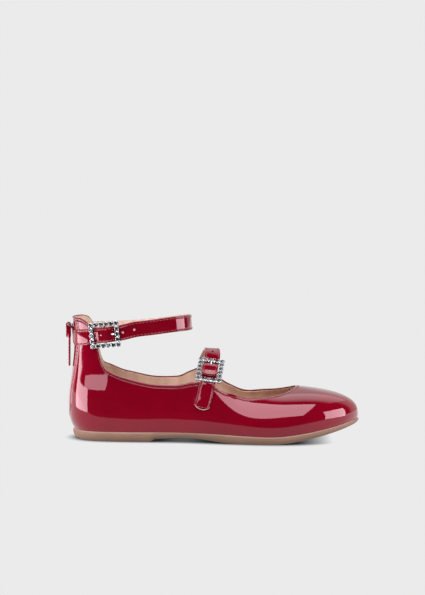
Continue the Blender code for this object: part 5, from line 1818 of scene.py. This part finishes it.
def make_floor():
    """A wide pale floor, seamless with the backdrop but for the soft shadow where the shoe closes it in.
    The shoe mirrors a dimmer floor, which fades on the near side and brightens past the toe and heel."""
    work = bmesh.new()
    bmesh.ops.create_circle(work, cap_ends=True, segments=96, radius=FLOOR_RADIUS)
    mesh = bpy.data.meshes.new("floor")
    work.to_mesh(mesh)
    work.free()
    floor = stand("floor", mesh)
    material = bpy.data.materials.new("pale_floor")
    material.use_nodes = True
    tree = material.node_tree
    tree.nodes.remove(tree.nodes["Principled BSDF"])
    closed_in = add_node(tree, "ShaderNodeAmbientOcclusion", {"Distance": SHADOW_REACH}, samples=SHADOW_SAMPLES)
    greys = {"From Min": SHADOW_FULL, "To Min": SHADOW_GREY, "To Max": BACKDROP}
    shade = add_node(tree, "ShaderNodeMapRange", greys)
    tree.links.new(closed_in.outputs["AO"], shade.inputs["Value"])
    seen = add_node(tree, "ShaderNodeEmission")
    tree.links.new(shade.outputs["Result"], seen.inputs["Color"])
    where = place_axes(tree, "Object")
    both = add_node(tree, "ShaderNodeMath", operation="MULTIPLY")
    for k, (axis, stops) in enumerate((("Y", FLOOR_GLOW_ACROSS), ("X", FLOOR_GLOW_ALONG))):
        tree.links.new(float_curve(tree, where[axis], stops), both.inputs[k])
    shine = add_node(tree, "ShaderNodeMath", {1: GLOW_TOP * GLOW_TOP}, operation="MULTIPLY")
    tree.links.new(both.outputs["Value"], shine.inputs[0])
    glow = add_node(tree, "ShaderNodeEmission")
    tree.links.new(shine.outputs["Value"], glow.inputs["Strength"])
    seen_or_mirrored(tree, seen, glow, "Material Output")
    mesh.materials.append(material)


def make_lights():
    """The panels of soft light, which the camera doesn't see."""
    for k, (*aim, half_width, half_height, distance, along, height, glow, roll) in enumerate(PANELS):
        way = direction(*aim)
        data = bpy.data.lights.new(f"panel_{k + 1}", "AREA")
        data.shape = "RECTANGLE"
        data.size = 2 * distance * math.tan(math.radians(half_width))
        data.size_y = 2 * distance * math.tan(math.radians(half_height))
        data.energy = glow * math.pi * data.size * data.size_y
        light = stand(data.name, data)
        light.location = Vector((along, 0.0, height)) + way * distance
        light.rotation_quaternion = facing(-way, roll)
        light.visible_camera = False


def make_world():
    """The backdrop that the camera sees, and the dimmer light from the far side that the shoe mirrors."""
    world = bpy.data.worlds.new("studio")
    bpy.context.scene.world = world
    world.use_nodes = True
    tree = world.node_tree
    seen = tree.nodes["Background"]
    seen.inputs["Color"].default_value = (BACKDROP, BACKDROP, BACKDROP, 1.0)
    span = {"From Min": WORLD_FROM, "From Max": WORLD_FULL, "To Min": WORLD_NEAR, "To Max": WORLD_FAR}
    behind = add_node(tree, "ShaderNodeMapRange", span, interpolation_type="SMOOTHSTEP")
    tree.links.new(place_axes(tree, "Generated")["Y"], behind.inputs["Value"])
    around = add_node(tree, "ShaderNodeBackground")
    tree.links.new(behind.outputs["Result"], around.inputs["Strength"])
    seen_or_mirrored(tree, seen, around, "World Output")
    view = bpy.context.scene.view_settings
    view.view_transform = "Standard"
    view.look = "None"


make_camera()
make_floor()
make_lights()
make_world()
make_upper()
make_upper_seams()
make_outsole()
make_insole()
make_zip()
make_slider()
make_pull()
ANKLE_FRAME = buckle_frame(*ANKLE_BUCKLE)
INSTEP_FRAME = buckle_frame(*INSTEP_BUCKLE)
make_tab("ankle_tab", ANKLE_TAB_ROOT, ANKLE_FRAME)
make_tab("instep_tab", INSTEP_TAB_ROOT, INSTEP_FRAME)
make_strap("ankle_strap", ANKLE_STRAP_ROOT, ANKLE_STRAP_LOOP, ANKLE_MIDDLE, ANKLE_FRAME)
make_strap("instep_strap", INSTEP_STRAP_ROOT, INSTEP_STRAP_LOOP, INSTEP_MIDDLE, INSTEP_FRAME)
make_buckle("ankle", ANKLE_FRAME, ANKLE_SEED)
make_buckle("instep", INSTEP_FRAME, INSTEP_SEED)
